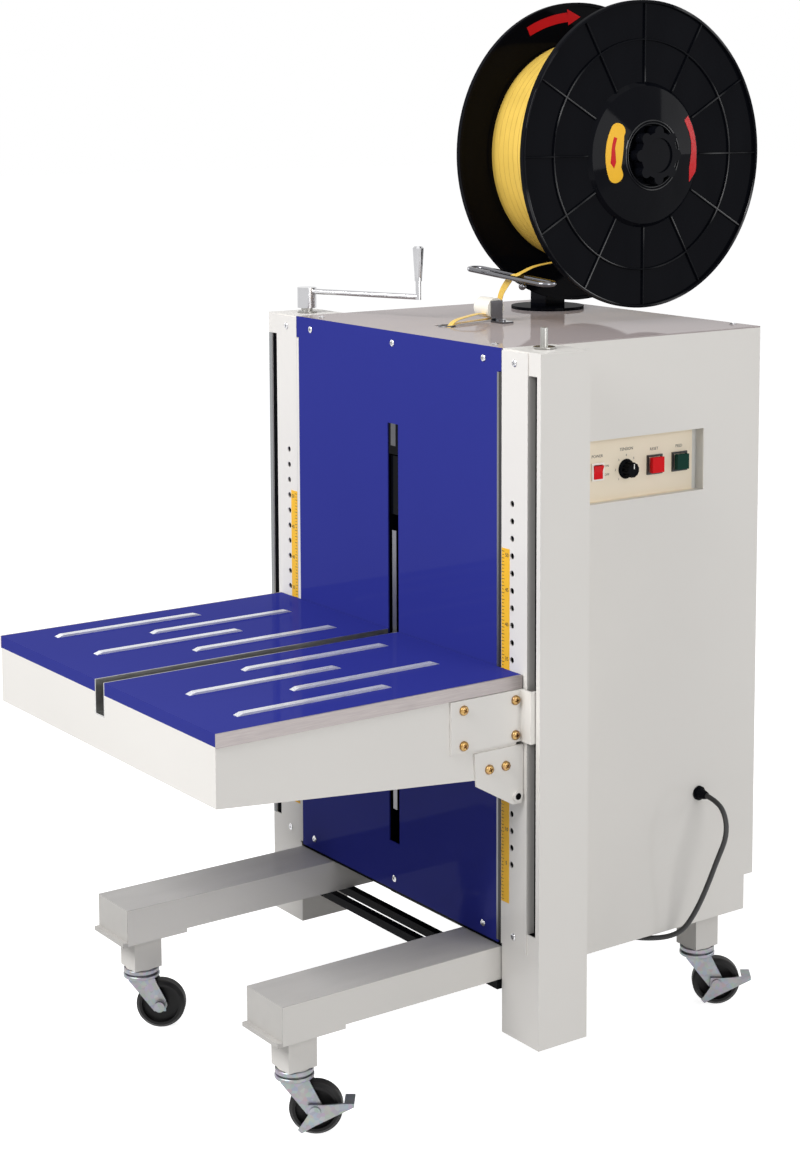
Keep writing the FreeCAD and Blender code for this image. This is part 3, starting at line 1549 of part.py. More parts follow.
def roller_bracket():
    """A plate folded at its foot, a bolt, and the pin of the strap roller."""
    x = -c.top_roller_right + c.face_gap
    near, far = back(c.top_roller_depth - c.roller_plate_half), back(c.top_roller_depth + c.roller_plate_half)
    y = back(c.top_roller_depth)
    low, gauge = c.top_height, c.roller_plate
    pin_start = -c.top_roller_left - c.face_gap - c.sheet_gauge
    return fuse(
        "RollerBracket",
        box("RollerPlate", (x, near, low), (x + gauge, far, above(c.roller_plate_rise))),
        box("RollerFoot", (x, near, low), (x + c.roller_foot, far, low + gauge)),
        rod("RollerBolt", (x + c.roller_foot / 2, y, low), c.head_radius, gauge + c.head_height),
        rod("TopRollerPin", (pin_start, y, above(c.top_roller_rise)), c.top_roller_pin, x - pin_start, "x"),
        rod("TopRollerHead", (pin_start, y, above(c.top_roller_rise)), c.top_roller_pin + c.sheet_gauge,
            c.sheet_gauge, "x"),
    )


def strap_roller():
    y = back(c.top_roller_depth)
    long = c.top_roller_left - c.top_roller_right
    bore = c.top_roller_pin + c.running_gap
    return cut(
        "StrapRoller",
        rod("StrapRollerTread", (-c.top_roller_left, y, above(c.top_roller_rise)), c.top_roller, long, "x"),
        rod("StrapRollerBore", (-c.top_roller_left - c.overrun, y, above(c.top_roller_rise)), bore,
            long + 2 * c.overrun, "x"),
    )


def turned(owner, side, depth):
    """Stands a castor piece under its riser, turned to the castors' heading."""
    owner.Placement = Placement(Vector(), Rotation(Vector(0, 0, 1), c.caster_heading.value))
    owner.setExpression("Placement.Rotation.Angle", c.caster_heading.formula)
    return place(owner, side * rail_middle, back(depth), 0)


cheek_inner = c.wheel_width / 2 + c.fork_clearance
cheek_outer = cheek_inner + c.fork_gauge
pedal_inner = cheek_outer + c.sheet_gauge + c.face_gap
pedal_outer = pedal_inner + c.pedal_gauge


def caster_fork(name, side, depth):
    """A swivel crown, two raked cheeks and the axle between them."""
    owner = body(name)
    crown_high = c.caster_height - c.race_height - c.face_gap
    crown_low = crown_high - c.crown_thickness
    crown = sketch(owner, "XY_Plane", crown_low)
    circle(crown, 0, 0, c.race_radius)
    pad(owner, crown, c.crown_thickness)
    tail = c.caster_trail + c.fork_eye
    for start in (cheek_inner, -cheek_outer):
        cheek = sketch(owner, "XZ_Plane", start)
        outline(cheek, [
            (-c.fork_eye * 2, crown_high), (c.fork_eye * 2, crown_high), (tail, c.wheel_radius + c.fork_eye),
            (tail, c.wheel_radius - c.fork_eye), (c.caster_trail - c.fork_eye, c.wheel_radius - c.fork_eye),
            (-c.fork_eye * 2, crown_low - c.crown_thickness),
        ])
        pad(owner, cheek, c.fork_gauge)
    axle = sketch(owner, "XZ_Plane", -cheek_outer - c.sheet_gauge)
    circle(axle, c.caster_trail, c.wheel_radius, c.axle_radius)
    pad(owner, axle, cheek_outer + c.sheet_gauge + pedal_outer + c.face_gap + c.sheet_gauge)
    for start in (-cheek_outer - c.sheet_gauge, cheek_outer, pedal_outer + c.face_gap):
        head = sketch(owner, "XZ_Plane", start)
        circle(head, c.caster_trail, c.wheel_radius, c.axle_head)
        pad(owner, head, c.sheet_gauge)
    hole = sketch(owner, "XY_Plane", crown_low)
    circle(hole, 0, 0, c.kingpin_radius + c.running_gap)
    pocket(owner, hole, c.crown_thickness, back=True)
    return turned(owner, side, depth)


def caster_wheel(name, side, depth):
    """A wheel turned with a rounded tread, a thinner web and a hub with its bore."""
    owner = body(name)
    half, radius, shoulder = c.wheel_width / 2, c.wheel_radius, c.tyre_shoulder
    bore = c.axle_radius + c.running_gap
    web = c.wheel_web / 2
    tread = radius - c.tread_depth
    drawing = sketch(owner, "XY_Plane", c.wheel_radius)
    trail = c.caster_trail
    outline(drawing, [
        (trail + bore, -half), (trail + c.hub_boss, -half), (trail + c.hub_boss, -web), (trail + tread, -web),
        (trail + tread, -half), (trail + radius - shoulder, -half), (trail + radius, shoulder - half),
        (trail + radius, half - shoulder), (trail + radius - shoulder, half), (trail + tread, half),
        (trail + tread, web), (trail + c.hub_boss, web), (trail + c.hub_boss, half), (trail + bore, half),
    ])
    axis = drawing.addGeometry(Part.LineSegment(
        Vector(trail.value, -half.value, 0), Vector(trail.value, half.value, 0)), True)
    pin_point(drawing, axis, 1, trail, -half)
    pin_point(drawing, axis, 2, trail, half)
    revolve(owner, drawing, "Axis0")
    return turned(owner, side, depth)


def brake_pedal(name, side, depth):
    """A bent lever on the axle's end, with a foot tab behind the wheel."""
    owner = body(name)
    trail, level, eye = c.caster_trail, c.wheel_radius, c.pedal_eye
    reach, rise, drop, tail = c.pedal_reach, c.pedal_rise, c.pedal_drop, c.pedal_tail
    lever = sketch(owner, "XZ_Plane", pedal_inner)
    outline(lever, [
        (trail - tail, level - drop + eye / 2), (trail - tail + eye / 2, level - drop),
        (trail, level - 2 * eye), (trail + reach, level + rise - eye / 2), (trail + reach, level + rise),
        (trail + reach - c.pedal_tab, level + rise), (trail + eye, level + eye), (trail - eye, level + eye),
        (trail - eye, level - eye / 2),
    ])
    pad(owner, lever, c.pedal_gauge)
    tab = sketch(owner, "XZ_Plane", pedal_outer)
    outline(tab, [
        (trail + reach - c.pedal_tab, level + rise - c.pedal_gauge),
        (trail + reach, level + rise - c.pedal_gauge),
        (trail + reach, level + rise),
        (trail + reach - c.pedal_tab, level + rise),
    ])
    pad(owner, tab, c.pedal_tab_width, back=True)
    hole = sketch(owner, "XZ_Plane", pedal_inner)
    circle(hole, trail, level, c.axle_radius + c.running_gap)
    pocket(owner, hole, c.pedal_gauge, back=True)
    return turned(owner, side, depth)


def cord_gland():
    """A gland with a flange on the panel and a tapered nose that holds the cord."""
    owner = body("CordGland")
    face = panel_half
    nose = face + c.gland_plate + c.gland_nose
    drawing = sketch(owner, "XY_Plane")
    outline(drawing, [
        (rail_outer - c.gland_plate, 0), (nose, 0), (nose, c.gland_tip),
        (face + c.gland_plate, c.gland_flange - c.sheet_gauge),
        (face + c.gland_plate, c.gland_flange), (face, c.gland_flange), (face, c.gland_neck - c.running_gap),
        (rail_outer, c.gland_neck - c.running_gap), (rail_outer, c.gland_flange),
        (rail_outer - c.gland_plate, c.gland_flange),
    ])
    revolve(owner, drawing)
    return place(owner, 0, back(c.gland_depth), c.gland_level)


CORD_ROUTE = [
    (320, 377, 362),
    (344, 371.5, 344.5),
    (353, 364, 317),
    (349, 351, 287),
    (341, 343, 254),
    (329, 337, 219),
    (315, 331, 188),
    (303, 323, 166),
    (288, 308, 154.5),
    (268, 287, 150.5),
    (244, 266.5, 150),
    (214, 255, 149.5),
    (181, 247.5, 148),
    (148, 242.5, 143.5),
    (112, 239.5, 140.3),
]


def bent_wire(points):
    """Straight runs joined by tangent arcs, each as large as its two runs allow."""
    edges, radii = [], []
    last = points[0]
    for before, corner, after in zip(points, points[1:], points[2:]):
        arrive = (corner - before).normalize()
        leave = (after - corner).normalize()
        turn = arrive.getAngle(leave)
        reach = c.corner_share.value * min((corner - before).Length, (after - corner).Length)
        radius = reach / math.tan(turn / 2)
        begin, end = corner - arrive * reach, corner + leave * reach
        inward = (leave - arrive).normalize()
        middle = corner + inward * (radius / math.cos(turn / 2) - radius)
        edges.append(Part.makeLine(last, begin))
        edges.append(Part.Arc(begin, middle, end).toShape())
        radii.append(round(radius, 1))
        last = end
    edges.append(Part.makeLine(last, points[-1]))
    return Part.Wire(edges), radii


def coil_middle():
    return numbers(c.coil_x, back(c.coil_depth))


def power_cord():
    """The cord from its gland down beside the cabinet, under the rail and to its coil."""
    start = Vector(*numbers(panel_half + c.gland_plate + c.gland_nose, back(c.gland_depth), c.gland_level))
    x, y = coil_middle()
    radius = c.cord_radius.value
    end = Vector(x + 2 * radius, y - c.coil_outer.value, CORD_ROUTE[-1][2])
    points = [start] + [Vector(px, front.value + py, pz) for px, py, pz in CORD_ROUTE] + [end]
    wire, radii = bent_wire(points)
    print("cord arc radii", radii)
    ring = Part.Wire(Part.makeCircle(radius, start, points[1] - start))
    tube = wire.makePipeShell([ring], True, True)
    print("cord length", round(wire.Length, 1), "mm, volume share",
          round(tube.Volume / (math.pi * radius ** 2 * wire.Length), 4))
    thing = doc.addObject("Part::Feature", "PowerCord")
    thing.Shape = tube
    return thing


def arc_from(start, heading, end):
    """The arc that leaves start along a heading and reaches end."""
    chord = end - start
    along = Vector(chord).normalize()
    angle = heading.getAngle(along)
    side = (heading - along * heading.dot(along)).normalize()
    return Part.Arc(start, start + chord / 2 + side * (chord.Length / 2 * math.tan(angle / 2)), end).toShape()


def biarc(start, heading, end, last_heading):
    """Two tangent arcs between two points with their headings."""
    chord = end - start
    bend = heading + last_heading
    share = 2 * (1 - heading.dot(last_heading))
    reach = (math.sqrt(chord.dot(bend) ** 2 + share * chord.dot(chord)) - chord.dot(bend)) / share
    middle = (start + end + (heading - last_heading) * reach) / 2
    return [arc_from(start, heading, middle), arc_from(end, -last_heading, middle)]


def coil_wire():
    """The coil in two layers: it winds inwards, climbs half a turn, and winds out again."""
    x, y = coil_middle()
    radius, outer, pitch, dip = numbers(c.cord_radius, c.coil_outer, c.coil_pitch, c.coil_dip)
    low = CORD_ROUTE[-1][2]
    steps = int(c.coil_steps.value)
    inward = [(outer - pitch / 2 * k, low) for k in range(steps)]
    inward.append((outer - pitch / 2 * steps - dip, low))
    rings = inward + [(ring, low + pitch) for ring, _ in reversed(inward)]
    knots = []
    for k, (ring, level) in enumerate(rings):
        side = -1 if k % 2 == 0 else 1
        knots.append((Vector(x, y + side * ring, level), Vector(side, 0, 0)))
    first, last = knots[0], knots[-1]
    edges = [Part.makeLine(first[0] - first[1] * (2 * radius), first[0])]
    for (start, heading), (end, last_heading) in zip(knots, knots[1:]):
        edges += biarc(start, heading, end, last_heading)
    edges.append(Part.makeLine(last[0], last[0] + last[1] * c.coil_tail.value))
    return Part.Wire(Part.__sortEdges__(edges))


def least_gap(wire, radius):
    """The least distance between parts of the tube that are not neighbours along it."""
    points = wire.discretize(Distance=radius)
    skip = 8
    return min(
        (points[i] - points[j]).Length
        for i in range(len(points)) for j in range(i + skip, len(points))
    ) - 2 * radius


def cord_coil():
    wire = coil_wire()
    radius = c.cord_radius.value
    x, y = coil_middle()
    start = Vector(x + 2 * radius, y - c.coil_outer.value, CORD_ROUTE[-1][2])
    ring = Part.Wire(Part.makeCircle(radius, start, Vector(1, 0, 0)))
    tube = wire.makePipeShell([ring], True, False)
    print("coil length", round(wire.Length, 1), "mm, least gap", round(least_gap(wire, radius), 2),
          "mm, volume share", round(tube.Volume / (math.pi * radius ** 2 * wire.Length), 4))
    thing = doc.addObject("Part::Feature", "CordCoil")
    thing.Shape = tube
    return thing


def power_plug():
    """A round plug with two pins at the end of the cord."""
    owner = body("PowerPlug")
    drawing = sketch(owner, "XY_Plane")
    outline(drawing, [
        (0, 0), (c.plug_length, 0), (c.plug_length, c.plug_radius), (c.plug_taper, c.plug_radius),
        (0, c.plug_neck),
    ])
    revolve(owner, drawing)
    for side in (-1, 1):
        pins = sketch(owner, "YZ_Plane", c.plug_length)
        circle(pins, side * c.plug_pin_half, 0, c.plug_pin)
        pad(owner, pins, c.plug_pin_length)
    x, y = c.coil_x + c.coil_tail, back(c.coil_depth) + c.coil_outer
    return place(owner, x, y, CORD_ROUTE[-1][2] + c.coil_pitch)


part("base_rails", base_rails())
part("cross_bars", cross_bars())
right_post = part("corner_post_right", post_right())
part("corner_post_left", mirrored("PostLeft", right_post))
part("guide_plates", guide_plates())
part("front_panel", front_panel())
part("slot_guide", slot_guide())
part("side_panel_left", side_panel_left())
part("side_panel_right", side_panel_right())
part("rear_panel", rear_panel())
part("top_cover", top_cover())
part("floor_pan", floor_pan())
part("panel_screws", panel_screws())
part("seal_head", seal_head())
part("cam_shaft", cam_shaft())
part("feed_roller", feed_roller())
part("drive_motor", drive_motor())
part("control_plate", control_plate())
part("power_rocker", power_rocker())
part("speed_knob", speed_knob())
part("push_button_red", push_button("PushRed", red_depth))
part("push_button_green", push_button("PushGreen", green_depth))
part("table_frame", table_frame())
part("table_top_left", table_top("TableTopLeft", -1))
part("table_top_right", table_top("TableTopRight", 1))
part("strap_groove", strap_groove())
part("slide_strips", slide_strips())
part("table_brackets", table_brackets())
part("bracket_bolts", bracket_bolts())
part("lift_nuts", lift_nuts())
part("guide_roller_left", guide_roller("GuideRollerLeft", -1))
part("guide_roller_right", guide_roller("GuideRollerRight", 1))
part("lead_screw_left", lead_screw_left())
part("lead_screw_right", lead_screw_right())
part("crank_arm", crank_arm())
part("crank_grip", crank_grip())
part("lift_chain", lift_chain())
part("reel_flange_far", reel_flange_far())
part("reel_flange_near", reel_flange_near())
part("star_nut", star_nut())
part("strap_winding", strap_winding())
part("strap_tail", strap_tail())
part("reel_stand", reel_stand())
part("brake_arm", brake_arm())
part("roller_bracket", roller_bracket())
part("strap_roller", strap_roller())
for end_name, depth in (("front", -c.riser_front), ("rear", c.riser_rear)):
    for side_name, side in (("left", -1), ("right", 1)):
        where = f"{end_name}_{side_name}"
        name = f"{end_name}{side_name}".title()
        part(f"caster_fork_{where}", caster_fork("Fork" + name, side, depth))
        part(f"caster_wheel_{where}", caster_wheel("Wheel" + name, side, depth))
        if side > 0:
            part(f"brake_pedal_{end_name}", brake_pedal("Pedal" + name, side, depth))
part("cord_gland", cord_gland())
part("power_cord", power_cord())
part("cord_coil", cord_coil())
part("power_plug", power_plug())

doc.recompute()
for thing in doc.Objects:
    if "Invalid" in thing.State or "Error" in thing.State:
        raise RuntimeError(f"{thing.Name} failed: {thing.State}")
os.makedirs("parts", exist_ok=True)
for thing in parts:
    shape = thing.Shape
    if shape.isNull() or not shape.isValid() or not shape.Solids:
        raise RuntimeError(f"{thing.Label} has no sound shape")
for thing in parts:
    thing.Shape.exportStep(f"parts/{thing.Label}.step")
print(len(parts), "parts written")
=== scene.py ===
from math import cos, hypot, pi, radians, sin

import bmesh
import bpy
from bpy.props import FloatProperty, FloatVectorProperty, IntProperty, PointerProperty
from mathutils import Matrix, Vector


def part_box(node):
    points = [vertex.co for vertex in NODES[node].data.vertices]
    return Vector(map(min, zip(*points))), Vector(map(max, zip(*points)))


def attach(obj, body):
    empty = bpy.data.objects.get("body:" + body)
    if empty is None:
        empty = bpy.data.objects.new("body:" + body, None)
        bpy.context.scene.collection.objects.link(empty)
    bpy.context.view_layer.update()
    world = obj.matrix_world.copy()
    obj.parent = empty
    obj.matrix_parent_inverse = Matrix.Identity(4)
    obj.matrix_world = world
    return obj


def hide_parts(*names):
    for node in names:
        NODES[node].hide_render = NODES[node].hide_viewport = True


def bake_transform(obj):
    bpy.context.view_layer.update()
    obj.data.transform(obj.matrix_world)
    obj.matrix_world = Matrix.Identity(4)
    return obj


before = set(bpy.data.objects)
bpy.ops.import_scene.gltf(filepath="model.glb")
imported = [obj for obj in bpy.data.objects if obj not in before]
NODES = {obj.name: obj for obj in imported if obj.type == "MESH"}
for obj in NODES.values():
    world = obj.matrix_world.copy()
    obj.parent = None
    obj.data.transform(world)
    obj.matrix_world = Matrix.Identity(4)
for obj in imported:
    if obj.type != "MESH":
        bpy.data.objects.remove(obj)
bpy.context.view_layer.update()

bl_info = {
    "name": "Strapping Machine Dressing",
    "version": (1, 0, 0),
    "blender": (4, 5, 0),
    "location": "3D Viewport > Sidebar > Strapping Machine",
    "description": "Finishes and small pieces for a carton strapping machine",
    "category": "Object",
}

FRONT = -0.0735
MM = 0.001
AHEAD, ACROSS, BACK, UP = (0, -1, 0), (1, 0, 0), (0, 1, 0), (0, 0, 1)
WELD = 2e-6


def deep(depth):
    """A place in millimetres behind the front face as the frame's Y."""
    return FRONT + depth * MM


def spot(x, depth, z):
    """A place given in millimetres: across, behind the front face and above the floor."""
    return Vector((x * MM, deep(depth), z * MM))


def tint(red, green, blue):
    """A screen colour of 0 to 255 as the shader's linear one."""
    def linear(value):
        share = value / 255
        return share / 12.92 if share < 0.04045 else ((share + 0.055) / 1.055) ** 2.4
    return (linear(red), linear(green), linear(blue))


def dim(colour, share, lift=0.0):
    """A colour made darker or lighter."""
    return tuple(share * part + lift for part in colour)


# Properties

def colour_property(name, description, value):
    return FloatVectorProperty(
        name=name, description=description, subtype="COLOR", size=3, min=0, max=1, default=tint(*value))


def length_property(name, description, value):
    return FloatProperty(name=name, description=description, subtype="DISTANCE", unit="LENGTH", default=value)


class StrapperColours(bpy.types.PropertyGroup):
    """Colours of the machine's finishes."""
    cream: colour_property("Cream", "Enamel of the posts, rails and table frame", (232, 229, 224))
    blue: colour_property("Blue", "Enamel of the front panel and the table tops", (48, 54, 141))
    ivory: colour_property("Ivory", "Control plate", (240, 227, 204))
    strap: colour_property("Strap", "Plastic strap", (251, 211, 98))
    label: colour_property("Label", "Yellow labels and height scales", (250, 193, 54))
    signal: colour_property("Signal red", "Arrows, switch and push button", (206, 18, 26))
    green: colour_property("Green", "Push button", (8, 52, 42))
    black: colour_property("Black", "Moulded reel, knobs and enamelled steel", (9, 10, 15))


class StrapperSizes(bpy.types.PropertyGroup):
    """Sizes of the small pieces."""
    cord_length: length_property("Cord length", "Power cord with its coil", 2.575)
    cord_diameter: length_property("Cord diameter", "Outside of the cord", 0.008)
    thread_lead: length_property("Thread lead", "Rise of a lead screw in one turn", 0.01)
    strap_gauge: length_property("Strap gauge", "Thickness of the loose strap", 0.0009)
    tick_pitch: length_property("Tick pitch", "Distance between marks of a height scale", 0.005)
    ticks: IntProperty(name="Ticks", description="Marks on one height scale", default=103, min=2)
    lens: FloatProperty(name="Lens", description="Focal length of the camera in millimetres", default=70.57)


def shade(name):
    return tuple(getattr(bpy.context.scene.strapper_colours, name))


def sizes():
    return bpy.context.scene.strapper_sizes


# Materials

def grow(tree, kind, links=None, **settings):
    """Adds a node, sets it and feeds it values, wires, sockets or the first outputs of nodes."""
    made = tree.nodes.new(kind)
    for key, value in settings.items():
        setattr(made, key, value)
    for key, value in (links or {}).items():
        value = value.outputs[0] if isinstance(value, bpy.types.Node) else getattr(value, "socket", value)
        if isinstance(value, bpy.types.NodeSocket):
            tree.links.new(value, made.inputs[key])
        else:
            made.inputs[key].default_value = value
    return made


def by(operation):
    """A method that adds one Math node to a wire and what it is given."""
    return lambda wire, *others: wire.maths(operation, wire, *others)


class Wire:
    """A node's output that takes part in sums."""

    def __init__(self, paint, socket):
        self.paint, self.socket = paint, socket

    def maths(self, operation, *terms):
        return self.paint.node("ShaderNodeMath", dict(enumerate(terms)), operation=operation)

    def __rsub__(self, other):
        return self.maths("SUBTRACT", other, self)

    __add__, __sub__ = by("ADD"), by("SUBTRACT")
    __mul__, __truediv__ = by("MULTIPLY"), by("DIVIDE")
    __gt__, __lt__ = by("GREATER_THAN"), by("LESS_THAN")
    at_least, at_most = by("MAXIMUM"), by("MINIMUM")
    size, root, fold = by("ABSOLUTE"), by("SQRT"), by("PINGPONG")


class Paint:
    """Builds the nodes of one material round a Principled shader."""

    def __init__(self, name, **constants):
        self.material = bpy.data.materials.new(name)
        self.material.use_nodes = True
        self.tree = self.material.node_tree
        self.shader = self.tree.nodes["Principled BSDF"]
        for key, value in constants.items():
            self.shader.inputs[key.replace("_", " ").title().replace("Ior", "IOR")].default_value = value
        self.place = self.node("ShaderNodeTexCoord", output="Object")
        self.x, self.y, self.z = self.parted(self.place)

    def node(self, kind, links=None, output=0, **settings):
        """Adds a node and returns one of its outputs."""
        return Wire(self, grow(self.tree, kind, links, **settings).outputs[output])

    def parted(self, place):
        """The three parts of a vector."""
        return [Wire(self, socket) for socket in grow(self.tree, "ShaderNodeSeparateXYZ", {0: place}).outputs]

    def noise(self, scale, detail=2.0, stretch=None):
        place = self.place
        if stretch:
            place = self.node("ShaderNodeVectorMath", {0: place, 1: stretch}, operation="MULTIPLY")
        return self.node("ShaderNodeTexNoise", {"Vector": place, "Scale": scale, "Detail": detail})

    def mixed(self, factor, first, second, blend="MIX"):
        def full(colour):
            return colour if isinstance(colour, Wire) else (*colour, 1)
        return self.node("ShaderNodeMix", {0: factor, 6: full(first), 7: full(second)}, 2,
                         data_type="RGBA", blend_type=blend)

    def inside(self, low, high):
        """One inside a box given by two corners and nought outside it."""
        mask = 1
        for wire, least, most in zip((self.x, self.y, self.z), low, high):
            mask = (wire > least) * (wire < most) * mask
        return mask

    def feed(self, socket, value):
        self.tree.links.new(value.socket, self.shader.inputs[socket])

    def surface(self, colour, roughness, grain=None, coat=None):
        """Feeds colour, roughness, coat and a bump: a wire or a noise's scale and detail, then depth and strength."""
        self.feed("Base Color", colour)
        self.feed("Roughness", roughness)
        if coat is not None:
            self.feed("Coat Weight", coat)
        if grain:
            *rise, depth, strength = grain
            height = rise[0] if isinstance(rise[0], Wire) else self.noise(*rise)
            self.feed("Normal", self.node(
                "ShaderNodeBump", {"Strength": strength, "Distance": depth, "Height": height}))
        return self


def drifting(name, low, high, drift, roughness, grain=None, **constants):
    """A finish whose colour and roughness follow one noise."""
    paint = Paint(name, **constants)
    tone = paint.noise(*drift)
    return paint.surface(paint.mixed(tone, low, high), tone * roughness[1] + roughness[0], grain)


ORANGE_PEEL = (420, 2, 0.00008, 0.35)


def enamel(name, colour, roughness=0.3, coat=0.4, haze=0.08):
    """Baked enamel: a slight orange peel, faint cloudiness and soft handling marks."""
    paint = Paint(name, coat_roughness=haze, specular_ior_level=0.0)
    cloud, marks = paint.noise(2.2, 3), paint.noise(14, 4, (1, 1, 0.25))
    return paint.surface(paint.mixed(cloud, dim(colour, 0.9), colour), marks * 0.12 + (roughness - 0.06),
                         ORANGE_PEEL, cloud * (coat * 0.4) + coat * 0.8)


def brushed(name, colour, roughness=0.3, grain=(40, 40, 900)):
    """Rolled or ground steel with fine lines along one way."""
    paint = Paint(name, metallic=1.0)
    lines, cloud = paint.noise(1, 3, grain), paint.noise(9, 2)
    return paint.surface(paint.mixed(lines, dim(colour, 0.78), colour),
                         lines * 0.14 + (roughness - 0.08) + cloud * 0.06, (lines, 0.00003, 0.4))


def bright(name, colour, roughness=0.08):
    """Chrome plate with faint waves and haze."""
    return drifting(name, dim(colour, 0.86), colour, (60, 3), (roughness, 0.08), (18, 1, 0.0002, 0.12), metallic=1.0)


def passivated():
    """Yellow zinc plate that shifts between brass, pale gold and rose."""
    paint = Paint("yellow_zinc", metallic=1.0)
    hue = paint.node("ShaderNodeValToRGB", {0: paint.noise(130, 2)})
    ramp = paint.tree.nodes[-1].color_ramp
    for k, (position, colour) in enumerate((
            (0.3, tint(150, 112, 58)), (0.5, tint(182, 150, 98)), (0.7, tint(140, 100, 82)))):
        stop = ramp.elements[k] if k < len(ramp.elements) else ramp.elements.new(position)
        stop.position, stop.color = position, (*colour, 1)
    return paint.surface(hue, paint.noise(300, 2) * 0.14 + 0.26, (900, 1, 0.00003, 0.4))


def galvanised():
    """Zinc plated pressings with small crystals and rubbed edges."""
    paint = Paint("zinc_pressing", metallic=0.9)
    crystal = paint.node("ShaderNodeTexVoronoi", {"Vector": paint.place, "Scale": 170}, "Color")
    smear = paint.noise(26, 4)
    toned = paint.mixed(0.2, tint(158, 160, 164), crystal, "SOFT_LIGHT")
    return paint.surface(paint.mixed(smear * 0.6, toned, tint(92, 94, 98)), smear * 0.2 + 0.3,
                         (500, 2, 0.00004, 0.5))


def moulded(name, colour, roughness=0.2, coat=0.3, grain=700):
    """Glossy moulded plastic with flow marks and a very fine skin."""
    paint = Paint(name, coat_roughness=0.07, specular_ior_level=0.0)
    flow = paint.noise(7, 4, (1, 2.5, 1))
    return paint.surface(paint.mixed(flow, colour, dim(colour, 1.3, 0.001)), flow * 0.13 + (roughness - 0.05),
                         (grain, 2, 0.00006, 0.3), flow * (coat * 0.3) + coat * 0.85)


def woven_strap():
    """Polypropylene strap with its rolled diamond pattern and two smooth edges."""
    colour = shade("strap")
    paint = Paint("yellow_strap")
    run, across, _ = paint.parted(paint.node("ShaderNodeUVMap", uv_map="strap"))
    weave = (run + across).fold(0.5) + (run - across).fold(0.5)
    edge = (across - 5.0).size() / 5.0
    tone = paint.noise(24, 3)
    base = paint.mixed((edge > 0.93) * 0.35, paint.mixed(tone, dim(colour, 0.78), colour), dim(colour, 0.5))
    return paint.surface(base, tone * 0.12 + 0.28 + weave * 0.08, (weave * (edge < 0.9), 0.00012, 0.7))


def vinyl(name, colour):
    """Printed self-adhesive film."""
    return drifting(name, dim(colour, 0.88), colour, (40, 3), (0.3, 0.12), (220, 2, 0.00005, 0.3),
                    specular_ior_level=0.12)


def nylon():
    """White nylon, a little yellowed and rubbed round where the strap runs."""
    paint = Paint("white_nylon")
    rings = paint.noise(1, 2, (900, 20, 20))
    return paint.surface(paint.mixed(rings, tint(232, 228, 214), tint(248, 246, 240)), rings * 0.15 + 0.32,
                         (rings, 0.00004, 0.4))


def printed(name, colour):
    """Screen-printed ink, slightly uneven."""
    return drifting(name, colour, dim(colour, 1.2, 0.01), (300, 2), (0.45, 0.15))


PLATE_EDGES = (119, 373.5)
RECESS_X, PLATE_X, BEZEL_X = 0.262, 0.2548, 0.26
BEZELS = ((175, 200.4, 868, 896.6, (240, 236, 228)), (281.5, 363, 867, 898.5, (30, 30, 32)))


def control_paint():
    """Ivory plate, a white bezel round the rocker and black ones round the push buttons."""
    paint = Paint("control_ivory", coat_roughness=0.1)
    cloud, ivory = paint.noise(12, 3), shade("ivory")
    near_edge, far_edge = map(deep, PLATE_EDGES)
    wall = ((paint.y > far_edge) + (paint.x > RECESS_X) > 0.5) * (paint.y > near_edge)
    colour = paint.mixed(wall, paint.mixed(cloud, dim(ivory, 0.94), ivory), tint(204, 203, 198))
    for near, far, low, high, bezel in BEZELS:
        mask = paint.inside((PLATE_X, deep(near), low * MM), (BEZEL_X, deep(far), high * MM))
        colour = paint.mixed(mask, colour, tint(*bezel))
    return paint.surface(colour, cloud * 0.1 + 0.34, (500, 2, 0.00005, 0.3), cloud * 0.1 + 0.15)


SIDE_X = 0.3


def slide_paint():
    """Bright slide bars on the tops and dull aluminium along the sides."""
    paint = Paint("slide_metal")
    lines, side = paint.noise(1, 3, (900, 36, 900)), paint.x.size() > SIDE_X
    bars = paint.mixed(lines, tint(196, 198, 204), tint(228, 230, 234))
    strips = paint.mixed(lines, tint(142, 136, 136), tint(178, 170, 168))
    paint.feed("Metallic", side * 0.5 + 0.35)
    return paint.surface(paint.mixed(side, bars, strips), side * 0.2 + 0.22 + lines * 0.12, (lines, 0.00003, 0.4))


def creamy(name, haze, dark, light):
    """A paint for cream enamel, its cloud and its drifting colour between two shares of cream."""
    paint = Paint(name, coat_roughness=haze, specular_ior_level=0.0)
    cloud, cream = paint.noise(2.2, 3), shade("cream")
    return paint, cloud, paint.mixed(cloud, dim(cream, dark), dim(cream, light))


PIN_DEPTH, PIN_Z, SOCKET_SHADE_RADIUS, BOSS_X = -13.3, 0.448, 0.0049, 0.3262


def bracket_paint():
    """Cream plates with a near-black disc of painted shade in each roller pin's socket on the boss."""
    paint, cloud, enamelled = creamy("bracket_enamel", 0.08, 0.9, 1)
    run, rise = paint.y - deep(PIN_DEPTH), paint.z - PIN_Z
    # Painted shade: a near-black disc where the pin's socket is.
    socket = ((run * run + rise * rise).root() < SOCKET_SHADE_RADIUS) * (paint.x.size() > BOSS_X)
    return paint.surface(paint.mixed(socket, enamelled, tint(16, 16, 18)), cloud * 0.12 + 0.28,
                         ORANGE_PEEL, cloud * 0.12 + 0.24)


POST_X, POST_DEPTHS, POST_TOP = (0.2745, 0.3585), (2.2, 86.5), 1.077
LIP_X, LIP_DEPTH, LIP_Z = -0.3503, 0.4, (0.243, 1.047)


